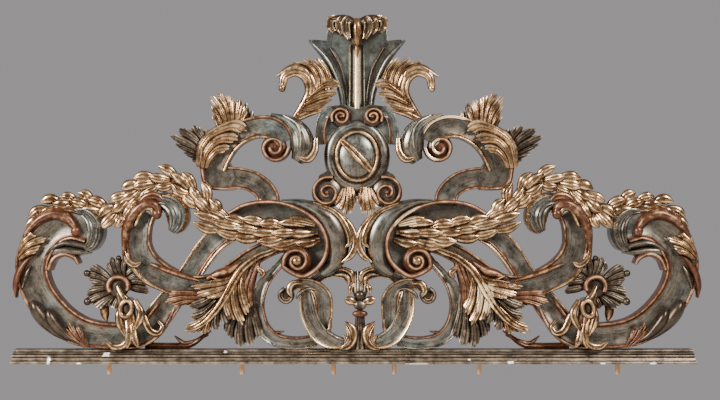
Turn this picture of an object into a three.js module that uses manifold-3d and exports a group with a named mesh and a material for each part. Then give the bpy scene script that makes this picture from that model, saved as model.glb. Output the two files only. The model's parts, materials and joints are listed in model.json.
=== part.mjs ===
// A carved and gilded overdoor: an openwork cresting of scrolls, leaves and a laurel garland
// around an oval cartouche, standing on a moulded rail with dowels under it.
// Millimetres, +Z up, front towards -Y. The flat backs lie in the plane y = 0, and the origin is
// on the back of the rail, halfway along it and halfway up it.
import * as THREE from "three";
import { mergeVertices } from "three/addons/utils/BufferGeometryUtils.js";
import Module from "manifold-3d";

const wasm = await Module();
wasm.setup();

// Sizes of the cresting
const CREST_WIDTH = 1822;
const CREST_DEPTH = 105;
// The outline is drawn on a grid of squares, this many across the cresting's full width.
const SQUARES_ACROSS = 684;
const SQUARE = CREST_WIDTH / SQUARES_ACROSS;
// Widths of the carved edges, in squares
const RIM = 3.2;
const BEAD = 2.4;
// Sides of a round boss, and spans in a full turn of a winding edge
const BOSS_SIDES = 9;
const SPANS_A_TURN = 5.6;
// How far out the backs of the leaves lie, as a share of their height
const LEAF_BACK = 0.4;
// Heights of the flat grounds, in hundredths of the depth
const VOLUTE_GROUND = 50;
const CARTOUCHE_GROUND = 52;
const CROWN_GROUND = 40;

// Sizes of the rail
const RAIL_HEIGHT = 38;
const RAIL_DEPTH = 80;
const RAIL_PAST_LEFT = 14;
const RAIL_SHORT_RIGHT = 5;
const RAIL_RETURN = 0.4;

// Sizes of the dowels
const DOWEL_DIAMETER = 12;
const DOWEL_BELOW = 29;
const DOWEL_INSIDE = 22;
const DOWEL_SETBACK = 38;
const DOWEL_SIDES = 10;
// Places along the rail, as shares of its length from its middle
const DOWEL_PLACES = [-0.358, -0.163, -0.029, 0.06, 0.184, 0.387];

// Clearance between pieces that touch
const GAP = 0.3;

const railLeft = -CREST_WIDTH / 2 - RAIL_PAST_LEFT;
const railRight = CREST_WIDTH / 2 - RAIL_SHORT_RIGHT;
const railLength = railRight - railLeft;
const railMiddle = (railLeft + railRight) / 2;
const foot = RAIL_HEIGHT / 2 + GAP;

// A place on the drawing, u squares from the centre line and z squares above the foot, standing
// out from the wall by a percentage of the depth.
function place(u, z, out) {
  return new THREE.Vector3(u * SQUARE, (-out * CREST_DEPTH) / 100, foot + z * SQUARE);
}

function spline(points, closed = false) {
  return new THREE.CatmullRomCurve3(points, closed, "catmullrom", 0.5);
}

// A closed surface through shared vertices, with its faces turned outwards.
function surface(vertices, index) {
  let volume = 0;
  for (let i = 0; i < index.length; i += 3) {
    const [a, b, c] = [0, 1, 2].map((k) => vertices[index[i + k]]);
    volume += a.dot(b.clone().cross(c));
  }
  const geometry = new THREE.BufferGeometry();
  const position = vertices.flatMap((p) => [p.x, p.y, p.z]);
  geometry.setAttribute("position", new THREE.Float32BufferAttribute(position, 3));
  geometry.setIndex(volume < 0 ? index.toReversed() : index);
  return geometry;
}

// Faces between neighbouring sections that have as many points each
function between(sections, around = false) {
  const count = sections[0].length;
  const index = [];
  for (let i = 0; i < sections.length - (around ? 0 : 1); i++) {
    const next = (i + 1) % sections.length;
    for (let j = 0; j < count; j++) {
      const k = (j + 1) % count;
      const [a, b, c, d] = [i * count + j, i * count + k, next * count + k, next * count + j];
      index.push(a, b, c, a, c, d);
    }
  }
  return index;
}

// A skin over a row of upright sections, closed by a flat face at each end
function skin(sections) {
  const vertices = sections.flat();
  const count = sections[0].length;
  const index = between(sections);
  const cap = (section, start, turned) => {
    const run = section[count - 1].clone().sub(section[0]).normalize();
    const flat = section.map((p) => new THREE.Vector2(p.clone().sub(section[0]).dot(run), -p.y));
    for (const [a, b, c] of THREE.ShapeUtils.triangulateShape(flat, [])) {
      index.push(start + a, start + (turned ? c : b), start + (turned ? b : c));
    }
  };
  cap(sections[0], 0, false);
  cap(sections.at(-1), vertices.length - count, true);
  return surface(vertices, index);
}

// Cross sections of the carving, from edge to edge: shares of the half width and of the height.
// A channel is hollow between two raised rims.
function channel(half) {
  const rim = Math.min(RIM / half, 0.5);
  const side = [
    [1, 0],
    [1, 1],
    [1 - rim, 0.84],
  ];
  return [...side.map(([s, h]) => [-s, h]), ...side.toReversed()];
}

// A trough is a narrow channel, hollow from edge to edge.
function trough() {
  return [
    [-1, 0],
    [-1, 1],
    [0, 0.78],
    [1, 1],
    [1, 0],
  ];
}

// A roll is the round back of a scroll's end.
function roll() {
  return [
    [-0.95, 0],
    [-0.95, 0.7],
    [0, 1],
    [0.95, 0.7],
    [0.95, 0],
  ];
}

// A leaf is ridged along its rib and hollow behind, clear of the wall.
function leaf() {
  return [
    [-1, LEAF_BACK],
    [0, 1],
    [1, LEAF_BACK],
  ];
}

// A stroke of the gouge: a section drawn along a smooth line through rows of
// [u, z, half width, height].
function stroke(rows, section, steps = rows.length - 1) {
  const line = spline(rows.map(([u, z]) => new THREE.Vector3(u, 0, z)));
  const girth = spline(rows.map(([, , half, high]) => new THREE.Vector3(half, high, 0)));
  const sections = [];
  for (let i = 0; i <= steps; i++) {
    const middle = line.getPoint(i / steps);
    const along = line.getTangent(i / steps);
    const { x: half, y: high } = girth.getPoint(i / steps);
    sections.push(
      section(half).map(([s, h]) =>
        place(middle.x + along.z * s * half, middle.z - along.x * s * half, h * high),
      ),
    );
  }
  return skin(sections);
}

// One lobe of a leaf, from its foot to its tip, bowed sideways by bend squares.
function lobe([u0, z0, u1, z1, bend, half, high]) {
  const length = Math.hypot(u1 - u0, z1 - z0);
  const bowU = (bend * (z1 - z0)) / length;
  const bowZ = (-bend * (u1 - u0)) / length;
  return stroke(
    [
      [u0, z0, half * 0.6, high * 0.86],
      [(u0 + u1) / 2 + bowU, (z0 + z1) / 2 + bowZ, half, high],
      [u1, z1, half * 0.2, high * 0.88],
    ],
    leaf,
  );
}

// A leaf cut into pointed lobes, spreading from its foot [u, z, half width, height] to tips of
// [u, z] in turn. A ridge runs out to each tip, the edge lies lower in the notches between, and
// the back tapers in to one point.
function spray([u, z, half, high], tips, notch = 0.72) {
  const root = new THREE.Vector2(u, z);
  const ends = tips.map(([tu, tz]) => new THREE.Vector2(tu, tz));
  const ahead = ends
    .reduce((sum, end) => sum.add(end.clone().sub(root).normalize()), new THREE.Vector2())
    .normalize();
  const across = new THREE.Vector2(-ahead.y, ahead.x).multiplyScalar(half);
  if (across.dot(ends[0].clone().sub(root)) < 0) across.negate();
  const hub = root.clone().addScaledVector(ahead, half);
  const rim = [[root.clone().add(across), 0.82]];
  ends.forEach((end, i) => {
    rim.push([end, 0.88]);
    if (i + 1 < ends.length) {
      const middle = end.clone().add(ends[i + 1]).divideScalar(2);
      rim.push([hub.clone().lerp(middle, notch), 0.82]);
    }
  });
  rim.push([root.clone().sub(across), 0.82]);
  const at = (p, share) => place(p.x, p.y, share * high);
  const ridges = ends.map((end) => at(hub.clone().lerp(end, 0.55), 1));
  const vertices = [...rim.map(([p, share]) => at(p, share)), ...ridges];
  const face = vertices.push(at(hub, 0.95)) - 1;
  const back = vertices.push(at(hub, LEAF_BACK)) - 1;
  const index = [face, rim.length - 1, 0];
  ends.forEach((_, i) => {
    const ridge = rim.length + i;
    index.push(face, 2 * i, ridge, 2 * i, 2 * i + 1, ridge);
    index.push(2 * i + 1, 2 * i + 2, ridge, 2 * i + 2, face, ridge);
  });
  rim.forEach((_, i) => index.push(back, (i + 1) % rim.length, i));
  return surface(vertices, index);
}

// Rows along a spiral that winds in from one radius to another. Positive turns run from +u to +z.
function coil(u, z, from, to, start, turns, half, high) {
  const steps = Math.round(Math.abs(turns) * SPANS_A_TURN);
  return Array.from({ length: steps + 1 }, (_, i) => {
    const share = i / steps;
    const angle = (start + 360 * turns * share) * (Math.PI / 180);
    const radius = from + (to - from) * Math.pow(share, 0.8);
    return [u + radius * Math.cos(angle), z + radius * Math.sin(angle), half, high];
  });
}

// A round boss that rises to its middle
function boss(u, z, radius, high) {
  const edge = 0.86;
  const profile = [
    [0, 0],
    [1, 0],
    [1, edge],
    [0, 1],
  ].map(([x, y]) => new THREE.Vector2(x * radius * SQUARE, (y * high * CREST_DEPTH) / 100));
  const middle = place(u, z, 0);
  const turned = new THREE.LatheGeometry(profile, BOSS_SIDES).rotateX(Math.PI);
  return turned.translate(middle.x, 0, middle.z);
}

// A flat ground with a closed outline through points of [u, z].
function ground(points, high) {
  const shape = new THREE.Shape(points.map(([u, z]) => new THREE.Vector2(u * SQUARE, z * SQUARE)));
  const depth = (high * CREST_DEPTH) / 100;
  const geometry = new THREE.ExtrudeGeometry(shape, { depth, bevelEnabled: false });
  return geometry.rotateX(Math.PI / 2).translate(0, 0, foot);
}

// The whole outline of which one half is given, from its lower to its upper point on the centre line
function bothSides(half) {
  const other = half.slice(1, -1).map(([u, z]) => [-u, z]);
  return [...half, ...other.toReversed()];
}

function outerScroll() {
  return [
    stroke(
      [
        [211, 13, 12.5, 58],
        [239, 13.5, 12.8, 60],
        [259, 14.5, 13.3, 61],
        [277, 18, 14.5, 62],
        [294, 27, 15.5, 64],
        [308, 40, 16, 66],
        [319, 56, 16, 69],
        [325, 73, 16, 72],
        [325.5, 89, 16.5, 75],
        [321, 101, 16.5, 77],
        [312, 113, 15.5, 80],
        [300, 122, 15, 82],
        [285, 125.5, 15, 85],
        [268, 119, 12.5, 86],
      ],
      channel,
      10,
    ),
    // The inner lip that curls under the rolled end
    stroke(
      [
        [311, 80, 5, 74],
        [306, 93, 8, 80],
        [292, 98, 8.5, 82],
        [270, 94, 4, 78],
      ],
      leaf,
    ),
    // The rolled end, and the leafy edge that winds into its eye
    stroke(
      [
        [284, 139, 2.5, 84],
        [271, 137, 4.5, 90],
        [261, 129, 6.5, 96],
        [258.2, 119, 7, 98],
        [266.5, 103.5, 4, 92],
      ],
      roll,
    ),
    stroke(
      [
        [321, 125, 2, 90],
        [304, 136, 4, 95],
        [286, 134, 6, 97],
        [277, 122, 4, 94],
      ],
      roll,
    ),
    // Leaves that wrap the outer edge
    lobe([338, 100, 312, 110, -4, 4, 84]),
    lobe([339, 58, 333, 90, -3, 4, 80]),
    lobe([303, 12, 318, 43, -3, 5, 74]),
    lobe([266, 4, 290, 24, -2, 4, 70]),
  ];
}

function innerScroll() {
  return [
    // An S: from its rolled end down and round, then up behind the acanthus
    stroke(
      [
        [211, 137, 9, 62],
        [217, 126, 11, 64],
        [219.5, 114, 12, 65],
        [219, 102, 12.5, 65],
        [214, 89, 13.5, 64],
        [204, 78, 14, 63],
        [189, 69.5, 13, 62],
        [172, 63.5, 12, 60],
        [154, 64, 10.5, 58],
        [137, 71, 8.5, 56],
        [120, 81.5, 8, 55],
        [104, 92, 7.5, 56],
        [88, 100.5, 7, 58],
        [73, 104, 6, 60],
      ],
      channel,
      9,
    ),
    stroke(
      [
        [207, 154, 3, 80],
        [194, 153.5, 5, 86],
        [182, 148.5, 7, 92],
        [175.5, 139, 7.5, 95],
        [181.5, 123, 4.5, 88],
      ],
      roll,
    ),
    stroke(
      [
        [226, 116, 2.5, 70],
        [220, 134, 6, 76],
        [206, 146, 9, 84],
        [195, 135, 4, 74],
      ],
      leaf,
    ),
    // The lip where the strap passes behind
    lobe([200, 84, 158, 70, 2, 3, 68]),
  ];
}

function strap() {
  return stroke(
    [
      [217, 12, 12, 34],
      [207, 24, 13, 36],
      [194, 41, 13, 38],
      [179, 61, 11, 40],
      [167, 79.5, 9.7, 42],
      [157, 95.5, 9.7, 43],
      [145, 109.5, 10, 44],
      [131, 119, 9.5, 44],
      [115, 124, 9, 44],
    ],
    trough,
    6,
  );
}

function centralVolute() {
  const edge = [
    [128, 137],
    [114, 144.5],
    [97, 148],
    [78, 147.5],
    [60, 142],
    [45, 133],
    [34.5, 121],
    [30, 107],
    [32.5, 92],
    [41.5, 80.5],
    [55, 74],
  ];
  const eye = [60, 89];
  const rim = edge.map(([u, z], i) => [u, z, BEAD + i * 0.06, Math.min(98, 70 + i * 5)]);
  const winding = coil(...eye, 15, 3.5, -62, 1.6, BEAD + 0.5, 98);
  return [
    // The hollow ground that the garland lies in
    ground([...edge, [74, 82], [74, 104], [114, 114], [126, 124]], VOLUTE_GROUND),
    stroke([...rim, ...winding], leaf),
    // The convex back of the scroll and the gilt leaf along its edge
    stroke(
      [
        [72, 149.5, 1.8, 90],
        [56, 147, 4, 94],
        [41, 140.5, 7.5, 97],
        [28.5, 130.5, 11, 98],
        [20, 118, 13, 98],
        [17, 92, 12, 90],
      ],
      roll,
    ),
    stroke(
      [
        [35, 147, 2, 98],
        [15, 135, 4.2, 99],
        [5, 116, 5, 98],
        [3, 103, 5, 95],
        [13, 88, 2, 84],
      ],
      leaf,
    ),
  ];
}

function upperScroll() {
  const eye = [83, 202.5];
  return [
    stroke(
      [
        [143.5, 182, 11.8, 63],
        [141, 190, 12.5, 64],
        [135, 201, 12.3, 66],
        [126, 211, 11.5, 69],
        [114.5, 218.5, 11, 72],
        [101.5, 223, 11, 75],
        [88.5, 223, 11.5, 78],
        [78, 218, 11, 80],
        [71.5, 209, 9, 80],
      ],
      channel,
      7,
    ),
    boss(...eye, 14, 66),
    stroke(coil(...eye, 15, 4, 180, 1.5, BEAD, 86), leaf),
    stroke(
      [
        [77, 234, 2.5, 84],
        [58, 223, 10.5, 94],
        [53, 210.5, 12, 94],
        [54, 200, 9.5, 90],
      ],
      roll,
    ),
    stroke(
      [
        [44, 204, 2.5, 92],
        [49, 193, 3.5, 92],
        [59, 195.5, 2, 86],
      ],
      leaf,
    ),
    // The leaf that lies over the channel
    spray(
      [151, 186, 6, 76],
      [
        [124, 205],
        [120, 218],
      ],
    ),
    // The upper and the outer spray
    spray(
      [131, 215, 7, 68],
      [
        [143, 240],
        [146, 256],
        [129, 254],
        [115, 247],
      ],
    ),
    spray(
      [147, 195, 8, 64],
      [
        [160, 189],
        [172, 199],
        [187, 214],
        [178, 220],
        [162, 224],
      ],
    ),
  ];
}

function hook() {
  return stroke(
    [
      [151, 172, 9, 60],
      [144, 172.5, 11.2, 60],
      [131, 172.5, 11, 58],
      [119, 172, 10.7, 56],
      [106, 169, 10.7, 56],
      [95.5, 162, 10.7, 57],
      [90, 153, 11.2, 58],
      [89, 144, 10.7, 60],
    ],
    channel,
    5,
  );
}

// The middle piece: a shield-shaped ground with four small volutes and a domed oval
function cartouche() {
  const outline = [
    [0, 242],
    [14, 246],
    [29, 244],
    [39, 233],
    [39, 209],
    [28, 206],
    [26, 182],
    [38, 175],
    [45, 160],
    [40, 148],
    [30, 145],
    [13, 157],
    [0, 154],
  ];
  return {
    centre: [ground(bothSides(outline), CARTOUCHE_GROUND), ...oval()],
    side: [
      stroke(coil(16, 234, 12, 3, 90, 1.3, BEAD, 74), leaf),
      stroke(coil(30, 158, 13, 3, 60, -1.3, BEAD, 74), leaf),
      // The fluted fringe that hangs below
      spray(
        [8, 158, 8, 66],
        [
          [21, 140],
          [14, 133],
          [6, 143],
        ],
      ),
    ],
  };
}

function oval() {
  // Half width, half height, middle and rise of the ring, and the dome's share of the ring
  const [across, up, z, high] = [20.5, 24.5, 194, 70];
  const inside = 0.92;
  const sides = 12;
  const ring = Array.from({ length: sides }, (_, i) => {
    const angle = (i / sides) * 2 * Math.PI;
    return leaf().map(([s, h]) =>
      place((across + 2 * s) * Math.cos(angle), z + (up + 2 * s) * Math.sin(angle), h * high),
    );
  });
  const profile = [0, 35, 65, 90].map((angle) => {
    const turned = (angle * Math.PI) / 180;
    return new THREE.Vector2(Math.cos(turned), Math.sin(turned));
  });
  const dome = new THREE.LatheGeometry([new THREE.Vector2(0, 0), ...profile], sides);
  const middle = place(0, z, CARTOUCHE_GROUND - 6);
  dome.rotateX(Math.PI).scale(across * inside * SQUARE, CREST_DEPTH * 0.3, up * inside * SQUARE);
  dome.translate(middle.x, middle.y, middle.z);
  return [surface(ring.flat(), between(ring, true)), dome, bend()];
}

// The slanting gilt band over the dome, falling from left to right
function bend() {
  return stroke(
    [
      [-13.5, 208, 4, 76],
      [-1, 195.5, 5, 82],
      [11.5, 183, 4, 76],
    ],
    leaf,
  );
}

function crown() {
  const outline = [
    [0, 238],
    [12, 240],
    [14.5, 258],
    [19, 270],
    [24.5, 283],
    [33, 296],
    [47.5, 309.5],
    [44, 311.5],
    [30.5, 310.5],
    [30, 321],
    [25, 330],
    [14, 334],
    [0, 330],
  ];
  return {
    centre: [
      ground(bothSides(outline), CROWN_GROUND),
      // The gilt rib and the calyx at its head
      stroke(
        [
          [0, 244, 5.4, 52],
          [0, 300, 4.2, 58],
          [0, 320, 6.2, 74],
          [0, 328, 5, 78],
        ],
        roll,
      ),
    ],
    side: [
      // The flared edge and the flute inside it
      stroke(
        [
          [13, 240, 3, 50],
          [15.5, 258, 3.6, 52],
          [22, 277, 4.4, 54],
          [31, 293, 5, 57],
          [48, 310.5, 2, 60],
        ],
        leaf,
      ),
      stroke(
        [
          [8, 246, 2, 48],
          [11, 278, 3, 51],
          [21, 307, 4, 54],
        ],
        leaf,
      ),
      // The curled plume: a round head with hanging fingers
      spray(
        [12, 336, 8, 88],
        [
          [30, 330],
          [27, 316],
          [16, 318],
          [10, 311],
          [1, 314],
        ],
        0.8,
      ),
    ],
  };
}

// The leafy sprays at the foot of the crown
function crownSpray() {
  return [
    stroke(
      [
        [58, 232, 7, 60],
        [45, 254, 8, 65],
        [47, 270, 6.5, 70],
        [57, 277, 5.5, 72],
        [71, 275, 5, 74],
        [73, 261, 3, 70],
      ],
      leaf,
    ),
    lobe([60, 279, 81, 271, -4, 3, 74]),
    spray(
      [46, 238, 9, 68],
      [
        [22, 244],
        [17, 263],
        [30, 276],
        [36, 290],
        [45, 291],
        [64, 288],
      ],
    ),
  ];
}

// The laurel garland: overlapping leaves that point to its outer end
function garland() {
  const line = spline(
    [
      [39, 111, 68],
      [57, 113, 72],
      [77, 114, 72],
      [99, 117, 70],
      [119, 122, 68],
      [137, 129, 68],
      [150, 141, 70],
      [162, 156, 72],
      [179, 168, 70],
      [199, 168, 70],
      [217, 161, 76],
      [231, 150, 80],
      [241, 139, 76],
      [257, 139, 72],
      [277, 145, 70],
      [295, 145, 66],
      [312, 137, 58],
      [324, 128, 52],
    ].map(([u, z, high]) => new THREE.Vector3(u, high, z)),
  );
  const clusters = 15;
  const rows = [];
  for (let i = 0; i < clusters; i++) {
    for (const [step, half, rise] of LEAF_CLUSTER) {
      const at = line.getPoint((i + step) / clusters);
      rows.push([at.x, at.z, half, at.y + rise]);
    }
  }
  return stroke(rows, leaf);
}

// Each cluster of laurel leaves swells from under the last one and ends in tips that stand proud:
// share of the cluster's length, half width and rise.
const LEAF_CLUSTER = [
  [0.05, 6, -8],
  [0.85, 9, 6],
];

function acanthus() {
  return [
    stroke(
      [
        [75, 98.5, 2.2, 66],
        [95, 92, 3, 70],
        [110, 80, 4, 76],
        [121, 66, 4.5, 80],
        [131, 51, 4.5, 80],
        [146, 34, 2, 72],
      ],
      leaf,
    ),
    // Above the rib and around its end
    lobe([119, 70, 164, 64, -3, 5, 74]),
    spray(
      [130, 56, 8, 74],
      [
        [160, 52],
        [190, 49],
        [170, 32],
        [171, 19],
        [148, 16],
        [128, 30],
      ],
    ),
    // Below the rib, in two tiers
    spray(
      [110, 80, 8, 78],
      [
        [114, 26],
        [106, 44],
        [95, 73],
      ],
    ),
    spray(
      [111, 38, 8, 60],
      [
        [127, 15],
        [124, 2],
        [113, 1],
        [102, 6],
      ],
    ),
  ];
}

function lowerScroll() {
  return stroke(
    [
      [72, 92, 4, 44],
      [89, 73, 5, 46],
      [97, 60, 6.5, 48],
      [100.5, 46, 7, 50],
      [99, 32, 7, 52],
      [93.5, 19, 7, 53],
      [83, 10, 6.5, 53],
      [69, 6.5, 6, 52],
      [54, 6.5, 6, 50],
      [41, 9, 6, 48],
    ],
    trough,
    7,
  );
}

function loops() {
  return [
    stroke(
      [
        [48, 56, 5, 58],
        [48, 50, 7, 58],
        [48.5, 39, 7.5, 60],
        [44, 26, 8, 62],
        [36, 15, 8, 62],
        [24, 8, 7, 60],
        [12, 7, 5, 58],
      ],
      trough,
      5,
    ),
    stroke(
      [
        [66, 59, 5, 60],
        [52, 64, 5.5, 60],
        [40, 61, 6, 58],
        [33, 53, 6.6, 56],
        [31.5, 41, 6.6, 54],
        [33, 29, 6, 52],
        [32, 19, 4, 50],
      ],
      trough,
      5,
    ),
    // The small rolled end
    boss(70.5, 54, 8, 64),
    // The arch above, and the leaves at the foot
    stroke(
      [
        [46, 66, 5, 46],
        [36, 75, 5, 47],
        [20, 77.5, 4.6, 50],
        [8, 71, 4.6, 52],
      ],
      trough,
    ),
    spray(
      [8, 2, 7, 68],
      [
        [15, 16],
        [12, 28],
        [5, 26],
      ],
    ),
  ];
}

// The hanging flower on the centre line, on its stalk
function bud() {
  return {
    centre: [
      stroke(
        [
          [0, 78, 7, 46],
          [0, 60, 5, 54],
          [0, 40, 7, 60],
          [0, 30, 4.4, 52],
          [0, 0, 7, 54],
        ],
        roll,
      ),
    ],
    side: [boss(8, 50, 5, 56)],
  };
}

function rosette() {
  return [
    boss(239, 62, 10, 62),
    spray(
      [243, 50, 8, 54],
      [
        [221, 51],
        [207, 62],
        [216, 76],
        [227, 91],
        [239, 95],
        [250, 92],
        [276, 79],
        [277, 46],
      ],
      0.66,
    ),
    lobe([243, 57, 252, 28, 2, 5, 46]),
  ];
}

// The gilt husk that clasps the scroll and the strap together
function husk() {
  return [
    stroke(
      [
        [239, 60, 4, 74],
        [236, 50, 7, 80],
        [230, 39, 9.5, 86],
        [226, 22, 8, 84],
        [226, 6, 3, 76],
      ],
      leaf,
    ),
    stroke(
      [
        [216, 47, 3, 80],
        [213, 35, 4, 82],
        [208, 20, 4, 82],
        [199, 18, 3, 76],
        [196, 26, 2, 72],
      ],
      leaf,
    ),
    stroke(
      [
        [227, 18, 4, 80],
        [236, 7, 4, 78],
        [250, 8, 2.6, 72],
      ],
      leaf,
    ),
    lobe([222, 24, 217, 5, 2, 5, 78]),
  ];
}

function tendril() {
  return stroke(
    [
      [214, 3, 3, 30],
      [180, 2.5, 3, 32],
      [166, 5, 3, 34],
      [148, 18, 1.5, 38],
    ],
    roll,
  );
}

// A closed geometry as a solid
function solid(geometry) {
  const bare = geometry.clone();
  bare.deleteAttribute("normal");
  bare.deleteAttribute("uv");
  const merged = mergeVertices(bare, 1e-3);
  const vertProperties = merged.getAttribute("position").array;
  const triVerts = new Uint32Array(merged.getIndex().array);
  return new wasm.Manifold(new wasm.Mesh({ numProp: 3, vertProperties, triVerts }));
}

function mirrored(geometry) {
  const other = geometry.clone();
  other.deleteAttribute("normal");
  other.deleteAttribute("uv");
  const whole = mergeVertices(other.scale(-1, 1, 1), 1e-3);
  whole.setIndex([...whole.getIndex().array].toReversed());
  return whole;
}

function geometryOf(body) {
  const { vertProperties, triVerts } = body.getMesh();
  const geometry = new THREE.BufferGeometry();
  geometry.setAttribute("position", new THREE.BufferAttribute(vertProperties, 3));
  geometry.setIndex(new THREE.BufferAttribute(triVerts, 1));
  return geometry;
}

function crestGeometry() {
  const middlePieces = [cartouche(), crown(), bud()];
  const side = [
    ...outerScroll(),
    ...innerScroll(),
    strap(),
    ...centralVolute(),
    ...upperScroll(),
    hook(),
    ...crownSpray(),
    garland(),
    ...acanthus(),
    lowerScroll(),
    ...loops(),
    ...rosette(),
    ...husk(),
    tendril(),
    ...middlePieces.flatMap((piece) => piece.side),
  ];
  const centre = middlePieces.flatMap((piece) => piece.centre);
  const all = [...side, ...side.map(mirrored), ...centre];
  const carved = all.map(solid).reduce((whole, next) => whole.add(next));
  // The carving is flat at its back and where it stands on the rail.
  const room = new THREE.BoxGeometry(CREST_WIDTH * 2, CREST_DEPTH * 2, CREST_WIDTH * 2);
  room.translate(0, -CREST_DEPTH, foot + CREST_WIDTH);
  return geometryOf(carved.intersect(solid(room)));
}

function railGeometry() {
  // Steps of the moulding from the bottom up: share of the depth and share of the height
  const steps = [
    [1, 0],
    [1, 0.2],
    [0.94, 0.25],
    [0.9, 0.34],
    [0.9, 0.5],
    [0.93, 0.55],
    [0.93, 0.63],
    [0.84, 0.68],
    [0.8, 0.82],
    [0.76, 0.86],
    [0.76, 1],
  ];
  const sections = steps.map(([out, up]) => {
    const inset = RAIL_DEPTH * (1 - out) * RAIL_RETURN;
    const z = RAIL_HEIGHT * (up - 0.5);
    return [
      new THREE.Vector3(railLeft + inset, 0, z),
      new THREE.Vector3(railRight - inset, 0, z),
      new THREE.Vector3(railRight - inset, -RAIL_DEPTH * out, z),
      new THREE.Vector3(railLeft + inset, -RAIL_DEPTH * out, z),
    ];
  });
  const top = (sections.length - 1) * 4;
  const ends = [0, 2, 1, 0, 3, 2, top, top + 1, top + 2, top, top + 2, top + 3];
  const geometry = surface(sections.flat(), [...between(sections), ...ends]);
  // Blind holes for the dowels
  const holes = DOWEL_PLACES.map((share) => {
    const hole = new THREE.CylinderGeometry(
      DOWEL_DIAMETER / 2 + GAP,
      DOWEL_DIAMETER / 2 + GAP,
      2 * (DOWEL_INSIDE + GAP),
      DOWEL_SIDES,
    );
    return hole.rotateX(Math.PI / 2).translate(dowelPlace(share), -DOWEL_SETBACK, -RAIL_HEIGHT / 2);
  });
  const cut = holes.map(solid).reduce((rail, hole) => rail.subtract(hole), solid(geometry));
  return geometryOf(cut);
}

function dowelPlace(share) {
  return railMiddle + share * railLength;
}

// A straight dowel, with its middle at the foot of the rail
function dowelGeometry() {
  const profile = [
    [0, -DOWEL_BELOW],
    [DOWEL_DIAMETER / 2, -DOWEL_BELOW],
    [DOWEL_DIAMETER / 2, DOWEL_INSIDE],
    [0, DOWEL_INSIDE],
  ].map(([x, y]) => new THREE.Vector2(x, y));
  return new THREE.LatheGeometry(profile, DOWEL_SIDES).rotateX(Math.PI / 2);
}

function piece(name, geometry, colour, roughness, metalness) {
  const material = new THREE.MeshStandardMaterial({ color: colour, roughness, metalness });
  const mesh = new THREE.Mesh(geometry, material);
  mesh.name = name;
  return mesh;
}

const overdoor = new THREE.Group();
overdoor.add(piece("carved_cresting", crestGeometry(), 0x7d6c55, 0.45, 0.6));
overdoor.add(piece("base_rail", railGeometry(), 0x75695a, 0.55, 0.4));
DOWEL_PLACES.forEach((share, i) => {
  const dowel = piece(`dowel_${i + 1}`, dowelGeometry(), 0xc9975c, 0.7, 0);
  dowel.position.set(dowelPlace(share), -DOWEL_SETBACK, -RAIL_HEIGHT / 2);
  overdoor.add(dowel);
});

export default overdoor;
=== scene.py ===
"""Looks of the carved and gilded overdoor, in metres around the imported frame."""

import json
import math
import random

import bmesh
import bpy
from mathutils import Matrix, Vector, noise
from mathutils.bvhtree import BVHTree

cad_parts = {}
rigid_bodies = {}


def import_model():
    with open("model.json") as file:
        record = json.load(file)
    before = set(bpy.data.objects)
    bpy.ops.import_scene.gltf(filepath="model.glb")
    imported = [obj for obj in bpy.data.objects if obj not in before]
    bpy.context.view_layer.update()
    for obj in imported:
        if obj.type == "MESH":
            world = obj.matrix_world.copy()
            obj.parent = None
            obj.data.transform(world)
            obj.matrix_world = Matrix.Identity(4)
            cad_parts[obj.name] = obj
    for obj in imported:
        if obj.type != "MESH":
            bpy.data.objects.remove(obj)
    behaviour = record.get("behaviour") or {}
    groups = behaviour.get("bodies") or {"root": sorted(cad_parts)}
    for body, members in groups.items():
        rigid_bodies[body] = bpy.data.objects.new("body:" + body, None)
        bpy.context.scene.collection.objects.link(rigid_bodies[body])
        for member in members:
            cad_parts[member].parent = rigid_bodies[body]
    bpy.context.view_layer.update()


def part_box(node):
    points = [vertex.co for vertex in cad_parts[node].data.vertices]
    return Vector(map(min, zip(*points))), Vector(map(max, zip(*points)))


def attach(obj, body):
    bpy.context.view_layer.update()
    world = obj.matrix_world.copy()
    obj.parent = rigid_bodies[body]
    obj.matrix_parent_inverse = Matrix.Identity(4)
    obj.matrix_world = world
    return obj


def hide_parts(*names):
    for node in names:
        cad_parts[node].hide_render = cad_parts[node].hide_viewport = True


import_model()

# The cresting is drawn on a grid of squares, u squares from the centre line and z above the foot.
# Heights above the wall are hundredths of the carving's depth.
CREST_WIDTH = 1.822
SQUARES_ACROSS = 684
SQUARE = CREST_WIDTH / SQUARES_ACROSS
DEPTH = 0.105
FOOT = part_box("carved_cresting")[0][2]
# Widths of the carved edges, in squares
RIM = 3.2
BEAD = 2.0
# The least half width of a ribbon, in squares
THINNEST = 0.15
# How far out the backs of the leaves lie, as a share of their height
LEAF_BACK = 0.4
# Heights of the flat grounds
VOLUTE_GROUND = 50
CARTOUCHE_GROUND = 52
CROWN_GROUND = 40

# Where the rims and one leaf on the right are rubbed bare, in squares: left, right, low and high
BARE_PATCHES = [(66, 108, 216, 242), (66, 82, 190, 214), (38, 60, 118, 146), (120, 136, 38, 66)]
# What has more wear than RUBBED there gets the wear BARE
RUBBED = 0.25
BARE = 1.6

# Finishes, as the material slots of the carving
SILVER, GILT, BOLE, DARK, WOOD = range(5)

# How far before and behind a place the line's direction is measured, as a share of the line
NEAR = 0.004
# Past this share of its length a leaf's tip turns up, by so many hundredths, and its ridges get a
# painted highlight
TIP_START = 0.8
TIP_LENGTH = 0.2
TIP_LIFT = 2.2
# The thinned carving's triangles, at most, and the angles past which an edge looks sharp
MOST_TRIANGLES = 190000
CARVED_EDGE = math.radians(40)
MOULDED_EDGE = math.radians(50)
# A face that looks back at the wall at least so squarely is bare wood
BACKWARD = 0.6

chance = random.Random(7)
shells = {"side": [], "centre": []}
group = "side"


def place(u, z, out):
    """A place on the drawing that stands out from the wall by a percentage of the depth."""
    return Vector((u * SQUARE, -out * DEPTH / 100, FOOT + z * SQUARE))


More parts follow.
